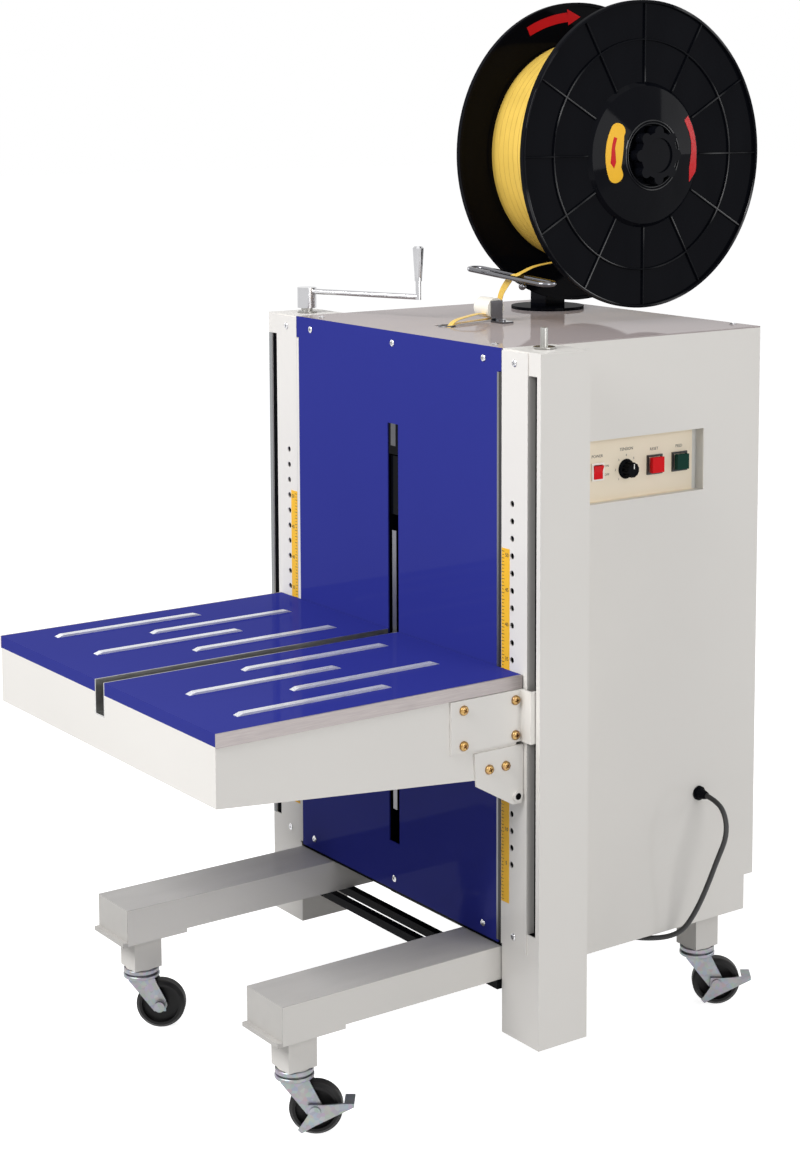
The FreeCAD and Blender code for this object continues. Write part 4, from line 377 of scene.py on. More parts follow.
def post_paint():
    """Cream tubes, dark grey inside as painted shade, with a grey lip of painted shade at the left one's slot."""
    paint, cloud, enamelled = creamy("post_enamel", 0.08, 0.9, 1)
    across = paint.x.size()
    front, back = map(deep, POST_DEPTHS)
    # Painted shade: the inside of each tube is dark grey.
    shaded_hollow = (across > POST_X[0]) * (across < POST_X[1]) * (paint.y > front) * (paint.y < back)
    shaded_hollow = shaded_hollow * (paint.z < POST_TOP)
    # Painted shade: the left post's front lip is grey like the shaded inner wall seen through its slot.
    shaded_lip = (paint.x < LIP_X) * (paint.y < deep(LIP_DEPTH)) * (paint.z > LIP_Z[0]) * (paint.z < LIP_Z[1])
    colour = paint.mixed(shaded_lip, paint.mixed(shaded_hollow, enamelled, tint(66, 66, 70)), tint(146, 148, 148))
    return paint.surface(colour, cloud * 0.12 + 0.28, ORANGE_PEEL, (cloud * 0.12 + 0.24) * (1 - shaded_hollow))


RAIL_TOP_Z, RAIL_END_Y = 0.2064, -0.4429


def leg_paint():
    """Cream enamel on the rails, darker all over, with painted shade on their tops and front ends."""
    paint, cloud, enamelled = creamy("leg_enamel", 0.12, 0.82, 0.9)
    top, end = paint.z > RAIL_TOP_Z, paint.y < RAIL_END_Y
    scuff, cream = paint.noise(30, 4, (1, 0.3, 1)), shade("cream")
    # Painted shade: the tops and the front ends get darker copies of the cream, mottled by a noise.
    rubbed = paint.mixed(scuff, dim(cream, 0.56), dim(cream, 0.68))
    shaded_end = paint.mixed(scuff, dim(cream, 0.58), dim(cream, 0.68))
    return paint.surface(paint.mixed(end, paint.mixed(top, enamelled, rubbed), shaded_end), scuff * 0.14 + 0.34,
                         ORANGE_PEEL, cloud * 0.1 + 0.18 - top * 0.1)


def rubbed_paint():
    """Crests of the reel's ribs: rubbed bright in places, dull between them."""
    paint, black = Paint("rubbed_black", coat_roughness=0.07, specular_ior_level=0.0), shade("black")
    patch = paint.noise(7, 2)
    worn = ((patch - 0.47) * 7).at_least(0.1).at_most(1.0)
    return paint.surface(paint.mixed(patch, black, dim(black, 1.3, 0.001)), patch * 0.1 + 0.2,
                         (700, 2, 0.00006, 0.3), worn)


PLUG_FACE_X = 0.1562


def plug_paint():
    """Moulded plug with bright pins."""
    paint = Paint("plug_black")
    scuff, pins = paint.noise(90, 3), paint.x > PLUG_FACE_X
    body = paint.mixed(scuff, tint(15, 15, 16), tint(34, 34, 35))
    paint.feed("Metallic", pins)
    return paint.surface(paint.mixed(pins, body, tint(205, 200, 186)), scuff * 0.16 + 0.34 - pins * 0.12,
                         (600, 2, 0.00006, 0.4))


HEADING, TRAIL = (0.6, 0.8), 0.03
WHEEL_RADIUS, HUB_RADIUS, TREAD_RADIUS = 0.0375, 0.0105, 0.0362


def wheel_paint(where, swivel):
    """A black tyre on a dark centre with a bright axle, told apart by the distance from the axle."""
    paint = Paint("wheel_" + where, specular_ior_level=0.2)
    run = ((paint.x - (swivel.x + TRAIL * HEADING[0])) * HEADING[0]
           + (paint.y - (swivel.y + TRAIL * HEADING[1])) * HEADING[1])
    rise = paint.z - WHEEL_RADIUS
    reach = (run * run + rise * rise).root()
    hub, dust = reach < HUB_RADIUS, paint.noise(70, 4)
    tread = (reach > TREAD_RADIUS) * dust
    body = paint.mixed(dust * 0.16 + tread * 0.4, tint(10, 10, 11), tint(62, 60, 58))
    paint.feed("Metallic", hub * 0.9)
    return paint.surface(paint.mixed(hub, body, tint(150, 150, 150)), dust * 0.25 + 0.3 + tread * 0.2 - hub * 0.1,
                         (420, 3, 0.00008, 0.4))


FINISHES = {}


def make_finishes():
    black, signal = shade("black"), shade("signal")
    FINISHES.update({
        "cream": enamel("cream_enamel", shade("cream"), 0.34, 0.3),
        "cover": enamel("cover_enamel", tint(176, 166, 165), 0.26, 0.36, 0.04),
        "blue": enamel("blue_enamel", shade("blue"), 0.3, 0.07, 0.05),
        "black": enamel("black_enamel", black, 0.28, 0.12),
        "steel": brushed("ground_steel", tint(196, 196, 194)),
        "slats": slide_paint(),
        "bracket": bracket_paint(),
        "liner": brushed("slot_steel", tint(138, 138, 142), 0.4, (900, 900, 30)),
        # A near-black sheet of painted shade for the gap beside the front panel.
        "gap": printed("gap_black", tint(12, 12, 13)),
        "dark": brushed("dark_steel", tint(96, 96, 100), 0.42, (60, 60, 420)),
        "chrome": bright("chrome", tint(206, 206, 208)),
        "zinc": passivated(),
        "galvanised": galvanised(),
        "moulded": moulded("moulded_black", black, 0.2, 0.1),
        "rubbed": rubbed_paint(),
        "leg": leg_paint(),
        "nut": moulded("nut_black", black, 0.2, 0.22, 300),
        "loop": bright("dark_chrome", tint(128, 128, 132), 0.06),
        "post": post_paint(),
        "cord": drifting("cord_rubber", tint(14, 14, 15), tint(30, 30, 31), (90, 3), (0.36, 0.2),
                         (800, 2, 0.00005, 0.5)),
        "strap": woven_strap(),
        "label": vinyl("yellow_film", shade("label")),
        "arrow": vinyl("red_film", signal),
        "nylon": nylon(),
        "screw": drifting("lead_screw_steel", tint(150, 148, 142), tint(186, 186, 184), (30, 4), (0.22, 0.2),
                          (600, 2, 0.00003, 0.4), metallic=1.0),
        "ink": printed("black_ink", tint(20, 20, 22)),
        "white": printed("white_ink", tint(236, 236, 232)),
        "red": moulded("red_plastic", signal, 0.16, 0.2),
        "green": moulded("green_plastic", shade("green"), 0.16, 0.2),
        "control": control_paint(),
        "plug": plug_paint(),
    })


PAINTWORK = {
    "post": "corner_post_right corner_post_left",
    "leg": "base_rails",
    "cream": "guide_plates side_panel_left side_panel_right rear_panel floor_pan table_frame",
    "bracket": "table_brackets",
    "cover": "top_cover",
    "blue": "front_panel table_top_left table_top_right",
    "black": "cross_bars reel_stand drive_motor slot_guide seal_head",
    "steel": "cam_shaft feed_roller lift_nuts lift_chain strap_groove",
    "slats": "slide_strips",
    "chrome": "crank_arm crank_grip guide_roller_left guide_roller_right",
    "loop": "brake_arm roller_bracket",
    "galvanised": "brake_pedal_front brake_pedal_rear",
    "moulded": "reel_flange_far reel_flange_near speed_knob cord_gland",
    "nut": "star_nut",
    "nylon": "strap_roller",
    "red": "power_rocker push_button_red",
    "green": "push_button_green",
    "control": "control_plate",
    "plug": "power_plug",
    "screw": "lead_screw_left lead_screw_right",
    "zinc": "bracket_bolts",
    "label": "strap_winding strap_tail",
}


# Meshes and nodes

def added(name, data):
    """A new object in the scene."""
    thing = bpy.data.objects.new(name, data)
    bpy.context.scene.collection.objects.link(thing)
    return thing


def give(thing, paint):
    """Puts one material on every slot of an object."""
    if not thing.data.materials:
        thing.data.materials.append(paint.material)
    for slot in thing.material_slots:
        slot.material = paint.material


def drawn(name, draw, *facts):
    """A mesh object that a function draws into, closed and with its faces outwards."""
    draft = bmesh.new()
    draw(draft, *facts)
    bmesh.ops.remove_doubles(draft, verts=draft.verts, dist=WELD)
    bmesh.ops.recalc_face_normals(draft, faces=draft.faces)
    mesh = bpy.data.meshes.new(name)
    draft.to_mesh(mesh)
    draft.free()
    return added(name, mesh)


def smoothed(thing, finish, sharp):
    """Gives a piece its finish and shades it, with edges sharp past an angle in degrees."""
    give(thing, FINISHES[finish])
    thing.data.shade_smooth()
    thing.data.set_sharp_from_angle(angle=radians(sharp))


def settle(thing, body, finish, replaced=(), sharp=35):
    """Finishes a piece and lets it ride on its body."""
    smoothed(thing, finish, sharp)
    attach(thing, body)
    if replaced:
        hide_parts(*replaced)


def sew(draft, rings, closed=False, top=True):
    """Joins rings of points with quads and caps both ends, or joins the last to the first."""
    count = len(rings[0])
    for first, second in list(zip(rings, rings[1:])) + ([(rings[-1], rings[0])] if closed else []):
        for k in range(count):
            n = (k + 1) % count
            draft.faces.new((first[k], first[n], second[n], second[k]))
    if not closed:
        draft.faces.new(rings[0][::-1])
        if top:
            draft.faces.new(rings[-1])


def polar(along, radius, share, axis="z"):
    """A place on a circle round an axis, after a share of a turn."""
    side, rise = radius * cos(2 * pi * share), radius * sin(2 * pi * share)
    return Vector((side, rise, along) if axis == "z" else (along, side, rise))


def lathe(draft, profile, centre, steps, top=True):
    """Turns (height, radius) pairs round an upright axis, closes the ends and returns the rings."""
    rings = [[draft.verts.new(centre + polar(height, radius, k / steps)) for k in range(steps)]
             for height, radius in profile]
    sew(draft, rings, top=top)
    return rings


def revolve(draft, outline, centre, axis, steps):
    """Turns a closed outline of (along, radius) pairs round an axis."""
    sew(draft, [[draft.verts.new(centre + polar(along, radius, k / steps, axis)) for along, radius in outline]
                for k in range(steps)], closed=True)


def prism(draft, outline, low, high, seat):
    """A flat outline between two heights; seat turns (u, v, height) into a point."""
    sew(draft, [[draft.verts.new(seat(u, v, level)) for u, v in outline] for level in (low, high)])


def slab(draft, low, high, edge):
    """A thin plate with its front edges eased."""
    def ring(shrink, level):
        left, right, foot, head = low.x + shrink, high.x - shrink, low.z + shrink, high.z - shrink
        return [draft.verts.new((u, level, v)) for u, v in ((left, foot), (right, foot), (right, head), (left, head))]
    sew(draft, [ring(0, high.y), ring(0, (low.y + high.y) / 2), ring(edge, low.y)])


def through(points, steps):
    """Points on a smooth line that passes through all the given ones."""
    padded = [points[0] * 2 - points[1], *points, points[-1] * 2 - points[-2]]
    line = []
    for a, b, c, d in zip(padded, padded[1:], padded[2:], padded[3:]):
        for k in range(steps):
            t = k / steps
            line.append(0.5 * (2 * b + (c - a) * t + (2 * a - 5 * b + 4 * c - d) * t * t
                               + (3 * b - a - 3 * c + d) * t ** 3))
    return line + [points[-1]]


def tree_with(name, inputs):
    """A geometry tree with named inputs and a finish, and the sockets that give them."""
    tree = bpy.data.node_groups.new(name, "GeometryNodeTree")
    for label, kind in {**inputs, "Finish": "Material"}.items():
        tree.interface.new_socket(label, in_out="INPUT", socket_type="NodeSocket" + kind)
    tree.interface.new_socket("Geometry", in_out="OUTPUT", socket_type="NodeSocketGeometry")
    return tree, grow(tree, "NodeGroupInput").outputs


def close_tree(tree, given, instances):
    """Makes the instances real, gives them their finish and ends the tree."""
    real = grow(tree, "GeometryNodeRealizeInstances", {"Geometry": instances})
    done = grow(tree, "GeometryNodeSetMaterial", {"Geometry": real, "Material": given["Finish"]})
    grow(tree, "NodeGroupOutput", {"Geometry": done})
    return tree


def taken(thing):
    """The plain mesh that an object makes; the object is then removed."""
    view = bpy.context.evaluated_depsgraph_get()
    mesh = bpy.data.meshes.new_from_object(thing.evaluated_get(view))
    bpy.data.objects.remove(thing)
    return mesh


def evaluated(thing, tree, finish, inputs):
    """What a tree makes of an object, as a plain mesh object in its place."""
    modifier = thing.modifiers.new("made", "NODES")
    modifier.node_group = tree
    inputs = {**inputs, "Finish": FINISHES[finish].material}
    for item in tree.interface.items_tree:
        if item.item_type == "SOCKET" and item.in_out == "INPUT" and item.name in inputs:
            modifier[item.identifier] = inputs[item.name]
    name = thing.name
    return added(name, taken(thing))


# Camera, lamps, floor and background

EYE = Vector((2.7911, -1.9695, 1.4497))
YAW, PITCH, ROLL = radians(53.094), radians(6.731), radians(0.080)
SHIFT = (-0.0868, -0.1966)
LAMPS = {
    "front_lamp": ((0.2, -3.4, 3.3), (0, 0, 0.9), (2.6, 1.8), 165),
    "side_lamp": ((3.7, 0.3, 1.7), (0.2, 0.2, 0.9), (1.8, 2.0), 50),
    "top_lamp": ((0.2, 0.2, 4.2), (0, 0.2, 0.8), (2.4, 2.4), 10),
    "left_lamp": ((-3.7, -0.7, 2.0), (0, 0, 0.9), (1.8, 2.0), 26),
    "rear_lamp": ((1.2, 4.0, 2.2), (0, 0.2, 0.9), (2.2, 2.0), 34),
}


def aim(name, position, target, size, power):
    lamp = bpy.data.lights.new(name, "AREA")
    lamp.shape = "RECTANGLE"
    lamp.size, lamp.size_y = size
    lamp.energy = power
    thing = added(name, lamp)
    thing.location = position
    thing.rotation_euler = (Vector(target) - Vector(position)).to_track_quat("-Z", "Y").to_euler()


def seen_directly(tree):
    """One for the camera's rays and for those that mirrors and glass send on, and nought for the rest."""
    path = grow(tree, "ShaderNodeLightPath").outputs
    total = path["Is Camera Ray"]
    for name in ("Is Glossy Ray", "Is Transmission Ray"):
        total = grow(tree, "ShaderNodeMath", {0: total, 1: path[name]}, operation="MAXIMUM")
    return total


def emptied(owner):
    """The cleared node tree of a world or a material."""
    owner.use_nodes = True
    owner.node_tree.nodes.clear()
    return owner.node_tree


def finish_shader(tree, kind, plain, seen):
    """Ends a tree with one shader for what is seen and one for the light that it throws back."""
    both = grow(tree, "ShaderNodeMixShader", {0: seen_directly(tree), 1: plain, 2: seen})
    grow(tree, "ShaderNodeOutput" + kind, {"Surface": both})


def make_world():
    """White where it is seen, and a calm light sky for the rest."""
    world = bpy.context.scene.world = bpy.data.worlds.new("studio")
    tree = emptied(world)
    seen = grow(tree, "ShaderNodeBackground", {"Color": (1, 1, 1, 1)})
    light = grow(tree, "ShaderNodeBackground", {"Color": (0.98, 0.98, 1, 1), "Strength": 0.3})
    finish_shader(tree, "World", light, seen)


def floor_paint():
    """A pale floor that is white where nothing shades it, keeps the shadow and throws little light back."""
    material = bpy.data.materials.new("pale_floor")
    tree = emptied(material)
    dull = grow(tree, "ShaderNodeBsdfDiffuse", {"Color": (0.5, 0.5, 0.5, 1)})
    pale = grow(tree, "ShaderNodeBsdfDiffuse", {"Color": (0.9, 0.9, 0.9, 1)})
    glow = grow(tree, "ShaderNodeEmission", {"Strength": 2.8})
    white = grow(tree, "ShaderNodeMixShader", {0: 0.3, 1: pale, 2: glow})
    finish_shader(tree, "Material", dull, white)
    return material


class STRAPPER_OT_stage(bpy.types.Operator):
    """Sets the camera, the lamps, the pale floor and the background"""
    bl_idname = "strapper.stage"
    bl_label = "Stage"

    def execute(self, context):
        scene = context.scene
        scene.view_settings.view_transform = "Standard"
        forward = Vector((-sin(YAW) * cos(PITCH), cos(YAW) * cos(PITCH), -sin(PITCH)))
        right = Matrix.Rotation(-ROLL, 3, forward) @ forward.cross(Vector(UP)).normalized()
        camera = added("camera", bpy.data.cameras.new("camera"))
        facing = Matrix((right, right.cross(forward), -forward)).transposed()
        camera.matrix_world = Matrix.Translation(EYE) @ facing.to_4x4()
        camera.data.sensor_fit = "VERTICAL"
        camera.data.sensor_height = 36
        camera.data.lens = sizes().lens
        camera.data.shift_x, camera.data.shift_y = SHIFT
        scene.camera = camera
        make_world()
        for name, facts in LAMPS.items():
            aim(name, *facts)
        bpy.ops.mesh.primitive_grid_add(x_subdivisions=2, y_subdivisions=2, size=60)
        floor = context.active_object
        floor.name = "floor"
        floor.data.materials.append(floor_paint())
        return {"FINISHED"}


# Power cord

CORD_ROUTE = [
    (291.5, 378.5, 364), (320, 377, 362), (344, 371.5, 344.5), (353, 364, 317), (349, 351, 287), (341, 343, 254),
    (329, 337, 219), (315, 331, 188), (303, 323, 166), (288, 308, 154.5), (268, 287, 150.5), (244, 266.5, 150),
    (214, 255, 149.5), (181, 247.5, 148), (148, 242.5, 143.5), (112, 239.5, 140.3), (84, 238.6, 140.3),
]
COIL_X, COIL_DEPTH = 70, 300
COIL_OUTER, COIL_PITCH, COIL_LOW = 60.45, 9.4, 140.3
COIL_HALF_TURNS, COIL_POINTS, COIL_DIP, COIL_TAIL = 7, 8, 1, 44


def coil_points():
    """Control points of the coil: inwards below, half a turn up, and outwards above."""
    rings = [(COIL_OUTER - COIL_PITCH / 2 * k, COIL_LOW) for k in range(COIL_HALF_TURNS)]
    rings.append((COIL_OUTER - COIL_PITCH / 2 * COIL_HALF_TURNS - COIL_DIP, COIL_LOW))
    rings += [(radius, COIL_LOW + COIL_PITCH) for radius, _ in reversed(rings)]
    swell = 1 / (0.75 + 0.25 * cos(pi / COIL_POINTS))
    points = []
    for half, ((radius, level), (next_radius, next_level)) in enumerate(zip(rings, rings[1:])):
        for k in range(COIL_POINTS):
            share = k / COIL_POINTS
            turn = -pi * (0.5 + half + share)
            reach = (radius + (next_radius - radius) * share) * swell
            ease = share * share * (3 - 2 * share)
            points.append((COIL_X + reach * cos(turn), COIL_DEPTH + reach * sin(turn),
                           level + (next_level - level) * ease))
    ends = [(0, 0.4), (14, 0), (28, 0), (COIL_TAIL + 1, 0)]
    return points + [(COIL_X + run, COIL_DEPTH + COIL_OUTER + out, COIL_LOW + COIL_PITCH) for run, out in ends]


class STRAPPER_OT_cord(bpy.types.Operator):
    """Lays the power cord from its gland to the coil under the cabinet"""
    bl_idname = "strapper.cord"
    bl_label = "Power cord"

    def execute(self, context):
        points = [spot(*place) for place in CORD_ROUTE + coil_points()]
        curve = bpy.data.curves.new("power_cord_line", "CURVE")
        curve.dimensions = "3D"
        spline = curve.splines.new("NURBS")
        spline.points.add(len(points) - 1)
        for knot, place in zip(spline.points, points):
            knot.co = (*place, 1)
        spline.order_u = 3
        spline.use_endpoint_u = True
        spline.resolution_u = 5
        curve.bevel_depth = sizes().cord_diameter / 2
        curve.bevel_resolution = 4
        curve.use_fill_caps = True
        cord = added("flex", curve)
        curve.materials.append(FINISHES["cord"].material)
        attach(cord, "cabinet")
        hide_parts("power_cord", "cord_coil")
        return {"FINISHED"}


# Finishes of the solids that stay, and the castors' swivel races

CASTORS = {f"{end}_{name}": spot(x, depth, 0) for end, depth in (("front", -323), ("rear", 424))
           for name, x in (("left", -223.5), ("right", 223.5))}
RING_INNER, RING_ROLL = 0.0236, 0.0016
RACE, CROWN = (0.0884, 0.0962, 0.0272), (0.0806, 0.0872, 0.0278)


class STRAPPER_OT_paintwork(bpy.types.Operator):
    """Gives every solid that stays its finish"""
    bl_idname = "strapper.paintwork"
    bl_label = "Paintwork"

    def execute(self, context):
        for finish, names in PAINTWORK.items():
            for name in names.split():
                give(NODES[name], FINISHES[finish])
        for where, swivel in CASTORS.items():
            give(NODES["caster_fork_" + where], FINISHES["galvanised"])
            give(NODES["caster_wheel_" + where], wheel_paint(where, swivel))
        return {"FINISHED"}


def swivel_ring(draft, place, low, high, radius):
    """A pressed ring with rolled edges round a castor's upright axis."""
    rolled = [(2, 0), (0.5, 0.4), (0, 1)]
    outline = [(low, RING_INNER)] + [(low + rise * RING_ROLL, radius - back * RING_ROLL) for back, rise in rolled]
    outline += [(high - rise * RING_ROLL, radius - back * RING_ROLL) for back, rise in reversed(rolled)]
    revolve(draft, outline + [(high, RING_INNER)], place, "z", 64)


class STRAPPER_OT_castors(bpy.types.Operator):
    """Sets the pressed rings of the castors' swivel races"""
    bl_idname = "strapper.castors"
    bl_label = "Swivel races"

    def execute(self, context):
        for where, place in CASTORS.items():
            for name, body, facts in (("race_", "cabinet", RACE), ("crown_", "fork_" + where, CROWN)):
                settle(drawn(name + where, swivel_ring, place, *facts), body, "galvanised")
        return {"FINISHED"}


# Strap: the winding on the reel and the loose tail

REEL_AXIS = spot(0, 405, 1339)
WINDING_RADIUS, WINDING_GAUGE, WINDING_PITCH, WINDING_WIDTH = 0.176, 0.0012, 0.0121, 0.0116
WINDING_START, WINDING_SPAN, WINDING_TURNS, DRUM_RADIUS = -0.0637, 0.1572, 12, 0.0995
STRAP_EDGE, STRAP_STEP, UNEVEN, SLIP = 0.0004, 0.004, 0.00015, 0.0004
HOLE = spot(-8, 104, 1080)
TAIL_BACK = [(22, 383.7, 1162.7), (22, 339.9, 1172), (22, 296, 1172), (22, 251, 1167), (22, 225, 1158.6)]
TAIL_FRONT = [
    (22, 225, 1158.6), (22, 218.5, 1156.2), (11, 212, 1149), (-15.8, 215.8, 1127.2), (-31.65, 219.6, 1101.5),
    (-31.65, 214.4, 1089), (-31.65, 202, 1083.9), (-19.8, 153, 1083.2), (-8, 112.8, 1081.6), (-8, 104, 1071.2),
    (-8, 104, 1063),
]
TAIL_FOLD = [(-30.6, 207, 1088.6), (-25, 180, 1093.4), (-17, 150, 1091.6), (-10.5, 122, 1087.4), (-8.5, 110, 1079),
             (-8, 106.4, 1064)]


def strap_uv(draft, lay, rings, step, offsets):
    """Writes millimetres along the strap and tenths of its width across it."""
    where = {}
    for k, ring in enumerate(rings):
        for vert, across in zip(ring, offsets):
            where[vert] = (k * step / MM, 10 * across / WINDING_WIDTH)
    for face in draft.faces:
        for loop in face.loops:
            loop[lay].uv = where.get(loop.vert, (0, 0))


def wound_layer(draft):
    """The outer layer as one flat helix with rounded edges, with its UV along and across the strap."""
    lay = draft.loops.layers.uv.new("strap")
    steps = 90
    section = [(0, -0.5), (STRAP_EDGE, 0), (WINDING_WIDTH - STRAP_EDGE, 0), (WINDING_WIDTH, -0.5),
               (WINDING_WIDTH - STRAP_EDGE, -1), (STRAP_EDGE, -1)]
    rings = []
    for k in range(WINDING_TURNS * steps + 1):
        turn = 2 * pi * k / steps
        x = WINDING_START + WINDING_PITCH * k / steps + UNEVEN * sin(turn * 3.1)
        rings.append([draft.verts.new(REEL_AXIS + polar(
            x + across, WINDING_RADIUS + down * WINDING_GAUGE, k / steps - 0.25, "x")) for across, down in section])
    sew(draft, rings)
    strap_uv(draft, lay, rings, 2 * pi * WINDING_RADIUS / steps, [part[0] for part in section])


def wound_core(draft):
    """The layers below, with each one's edge slightly out of line at both sides."""
    draft.loops.layers.uv.new("strap")
    layers = 44
    left, right = WINDING_START, WINDING_START + WINDING_SPAN
    gauge = (WINDING_RADIUS - 1.8 * WINDING_GAUGE - DRUM_RADIUS) / layers
    near, far = [], []
    for k in range(layers):
        slip = SLIP * (1 + sin(k * 2.3)) / 2
        for radius in (DRUM_RADIUS + gauge * k, DRUM_RADIUS + gauge * (k + 0.82)):
            near.append((left + slip, radius))
            far.append((right - slip, radius))
    revolve(draft, near + far[::-1], REEL_AXIS, "x", 120)


def ribbon(draft, places, before, after):
    """A loose length of strap; the places before and after give its headings at the ends."""
    lay = draft.loops.layers.uv.new("strap")
    steps = 8
    line = through([spot(*place) for place in before + places + after], steps)
    line = line[len(before) * steps:len(line) - len(after) * steps]
    half, gauge = WINDING_WIDTH / 2, sizes().strap_gauge / 2
    flat = half - STRAP_EDGE
    section = [(-half, 0), (-flat, 1), (flat, 1), (half, 0), (flat, -1), (-flat, -1)]
    rings = []
    for k, point in enumerate(line):
        along = line[min(k + 1, len(line) - 1)] - line[max(k - 1, 0)]
        out = along.cross(Vector(ACROSS)).normalized()
        across = out.cross(along).normalized()
        rings.append([draft.verts.new(point + across * side + out * up * gauge) for side, up in section])
    sew(draft, rings)
    strap_uv(draft, lay, rings, STRAP_STEP, [side + half for side, _ in section])


def eyelet(draft):
    """A raised rim round the hole in the top cover that takes the strap."""
    outline = [(0, 0.0095), (0.0012, 0.0095), (0.0018, 0.0105), (0.0012, 0.013), (0, 0.0135)]
    revolve(draft, outline, HOLE, "z", 48)


class STRAPPER_OT_strap(bpy.types.Operator):
    """Winds the strap on the reel and leads its tail through the loop and round the roller"""
    bl_idname = "strapper.strap"
    bl_label = "Strap"

    def execute(self, context):
        settle(drawn("strap_layer", wound_layer), "reel", "strap", ["strap_winding"])
        settle(drawn("strap_core", wound_core), "reel", "strap", ["strap_winding"], 20)
        for name, places, before, after, first, second, start, end in (
                ("strap_tail_back", TAIL_BACK, [], TAIL_FRONT[1:2], "cabinet", "brake_arm",
                 spot(22, 383, 1165), spot(22, 232, 1160)),
                ("strap_tail_front", TAIL_FRONT, TAIL_BACK[-2:-1], [], "brake_arm", "cabinet",
                 spot(0, 212, 1150), spot(0, 212, 1108))):
            tail = drawn(name, ribbon, places, before, after)
            smoothed(tail, "strap", 40)
            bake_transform(tail)
            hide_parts("strap_tail")
        settle(drawn("strap_tail_fold", ribbon, TAIL_FOLD, [], []), "cabinet", "strap", ["strap_tail"], 40)
        settle(drawn("strap_eyelet", eyelet), "cabinet", "dark")
        return {"FINISHED"}


# Crests and signs on the reel

# Finish, slot, thickness, radius, half width, first and last angle, and length of the head
SIGNS = {
    "reel_label": ("label", "strap", 0.0004, 0.075, 0.0115, -114, -59, 0),
    "label_arrow": ("arrow", "red_plastic", 0.0006, 0.075, 0.0026, -68, -98, 0.009),
    "near_arrow": ("arrow", "red_plastic", 0.0004, 0.0982, 0.0064, 55, 104, 0.022),
    "far_arrow": ("arrow", "red_plastic", 0.0004, 0.2165, 0.0075, -28, -6, 0.026),
}
# Name, radius, half width and seat
BEADS = (("ring_bead", 0.1785, 0.0014, 0.1004), ("rim_bead", 0.2365, 0.0022, 0.102),
         ("hub_bead", 0.0535, 0.0016, 0.12), ("well_bead", 0.0495, 0.001, 0.12))
RIBS, RIB_HALF, RIB_FOOT, RIB_END, RIB_SEAT = 12, 0.0014, 0.1135, 0.2335, 0.1004
FAR_FACE, NEAR_FACE = -0.064, 0.104
HUB_FOOT, CONE_RISE, CONE_RUN, BEVEL = 0.107, 0.016, 0.051, 0.006


def arc_outline(radius, half_width, start, end, head):
    """A bent bar between two angles in degrees, with round ends or an arrow head at its end."""
    steps = 20
    start, end = radians(start), radians(end)
    span = end - start
    sign = 1 if span > 0 else -1

    def plane(points):
        return [(reach * sin(turn), reach * cos(turn)) for reach, turn in points]

    def cap(turn, way):
        out = Vector((sin(turn), cos(turn)))
        on = Vector((cos(turn), -sin(turn))) * way
        return [tuple(out * radius + (out * cos(a) + on * sin(a)) * half_width)
                for a in (pi * j / 10 for j in range(1, 10))]

    outer = plane([(radius + half_width, start + span * k / steps) for k in range(steps + 1)])
    inner = plane([(radius - half_width, start + span * k / steps) for k in range(steps, -1, -1)])
    if head:
        return outer + plane([(radius + 1.7 * half_width, end), (radius, end + sign * head / radius),
                              (radius - 1.7 * half_width, end)]) + inner
    return outer + cap(end, sign) + inner + cap(start, -sign)[::-1]


def hub_face(y, z):
    """How far out the near hub stands at a place on it: flat disc, bevel, cone and crest."""
    reach = hypot(y, z)
    cone = CONE_RISE * min(1, max(0, (HUB_FOOT - reach) / CONE_RUN))
    return NEAR_FACE + cone - min(BEVEL, max(0, reach - HUB_FOOT))


def film(draft, outline, rise, at):
    """A thin film that follows a face of the reel; at gives the face's place across from y and z."""
    sheet = draft.faces.new([draft.verts.new((0, u, v)) for u, v in outline])
    bmesh.ops.triangulate(draft, faces=[sheet])
    bmesh.ops.subdivide_edges(draft, edges=draft.edges[:], cuts=11, use_grid_fill=True)
    for vert in draft.verts:
        vert.co = REEL_AXIS + Vector((at(vert.co.y, vert.co.z), vert.co.y, vert.co.z))
    for part in bmesh.ops.extrude_face_region(draft, geom=draft.faces[:], use_keep_orig=True)["geom"]:
        if isinstance(part, bmesh.types.BMVert):
            part.co.x += rise


def spoke_tree():
    """Sets one bead on each of a round of turns about the reel's axis."""
    tree, given = tree_with("spokes", {"Geometry": "Geometry", "Count": "Int", "Centre": "Vector"})
    line = grow(tree, "GeometryNodeMeshLine", {
        "Count": given["Count"], "Start Location": given["Centre"], "Offset": (0.0, 0.0, 0.0)}, mode="OFFSET")
    index = grow(tree, "GeometryNodeInputIndex")
    share = grow(tree, "ShaderNodeMath", {0: index, 1: given["Count"]}, operation="DIVIDE")
    angle = grow(tree, "ShaderNodeMath", {0: share, 1: 2 * pi}, operation="MULTIPLY")
    turn = grow(tree, "ShaderNodeCombineXYZ", {"X": angle})
    return close_tree(tree, given, grow(tree, "GeometryNodeInstanceOnPoints", {
        "Points": line, "Instance": given["Geometry"], "Rotation": turn}))


def crest(half, steps):
    """Places on a half circle: aside and up."""
    return [(half * cos(turn), half * sin(turn)) for turn in (pi * k / steps for k in range(steps + 1))]


def rib_bead(draft):
    """The rounded crest of one rib, from the hub to the rim, drawn up from the reel's axis."""
    prism(draft, crest(RIB_HALF, 8), RIB_FOOT, RIB_END, lambda side, up, level: (RIB_SEAT + up, side, level))


def ring_bead(draft, radius, half, seat):
    """A rounded crest round the reel's axis."""
    revolve(draft, [(seat + up, radius + side) for side, up in crest(half, 6)], REEL_AXIS, "x", 120)


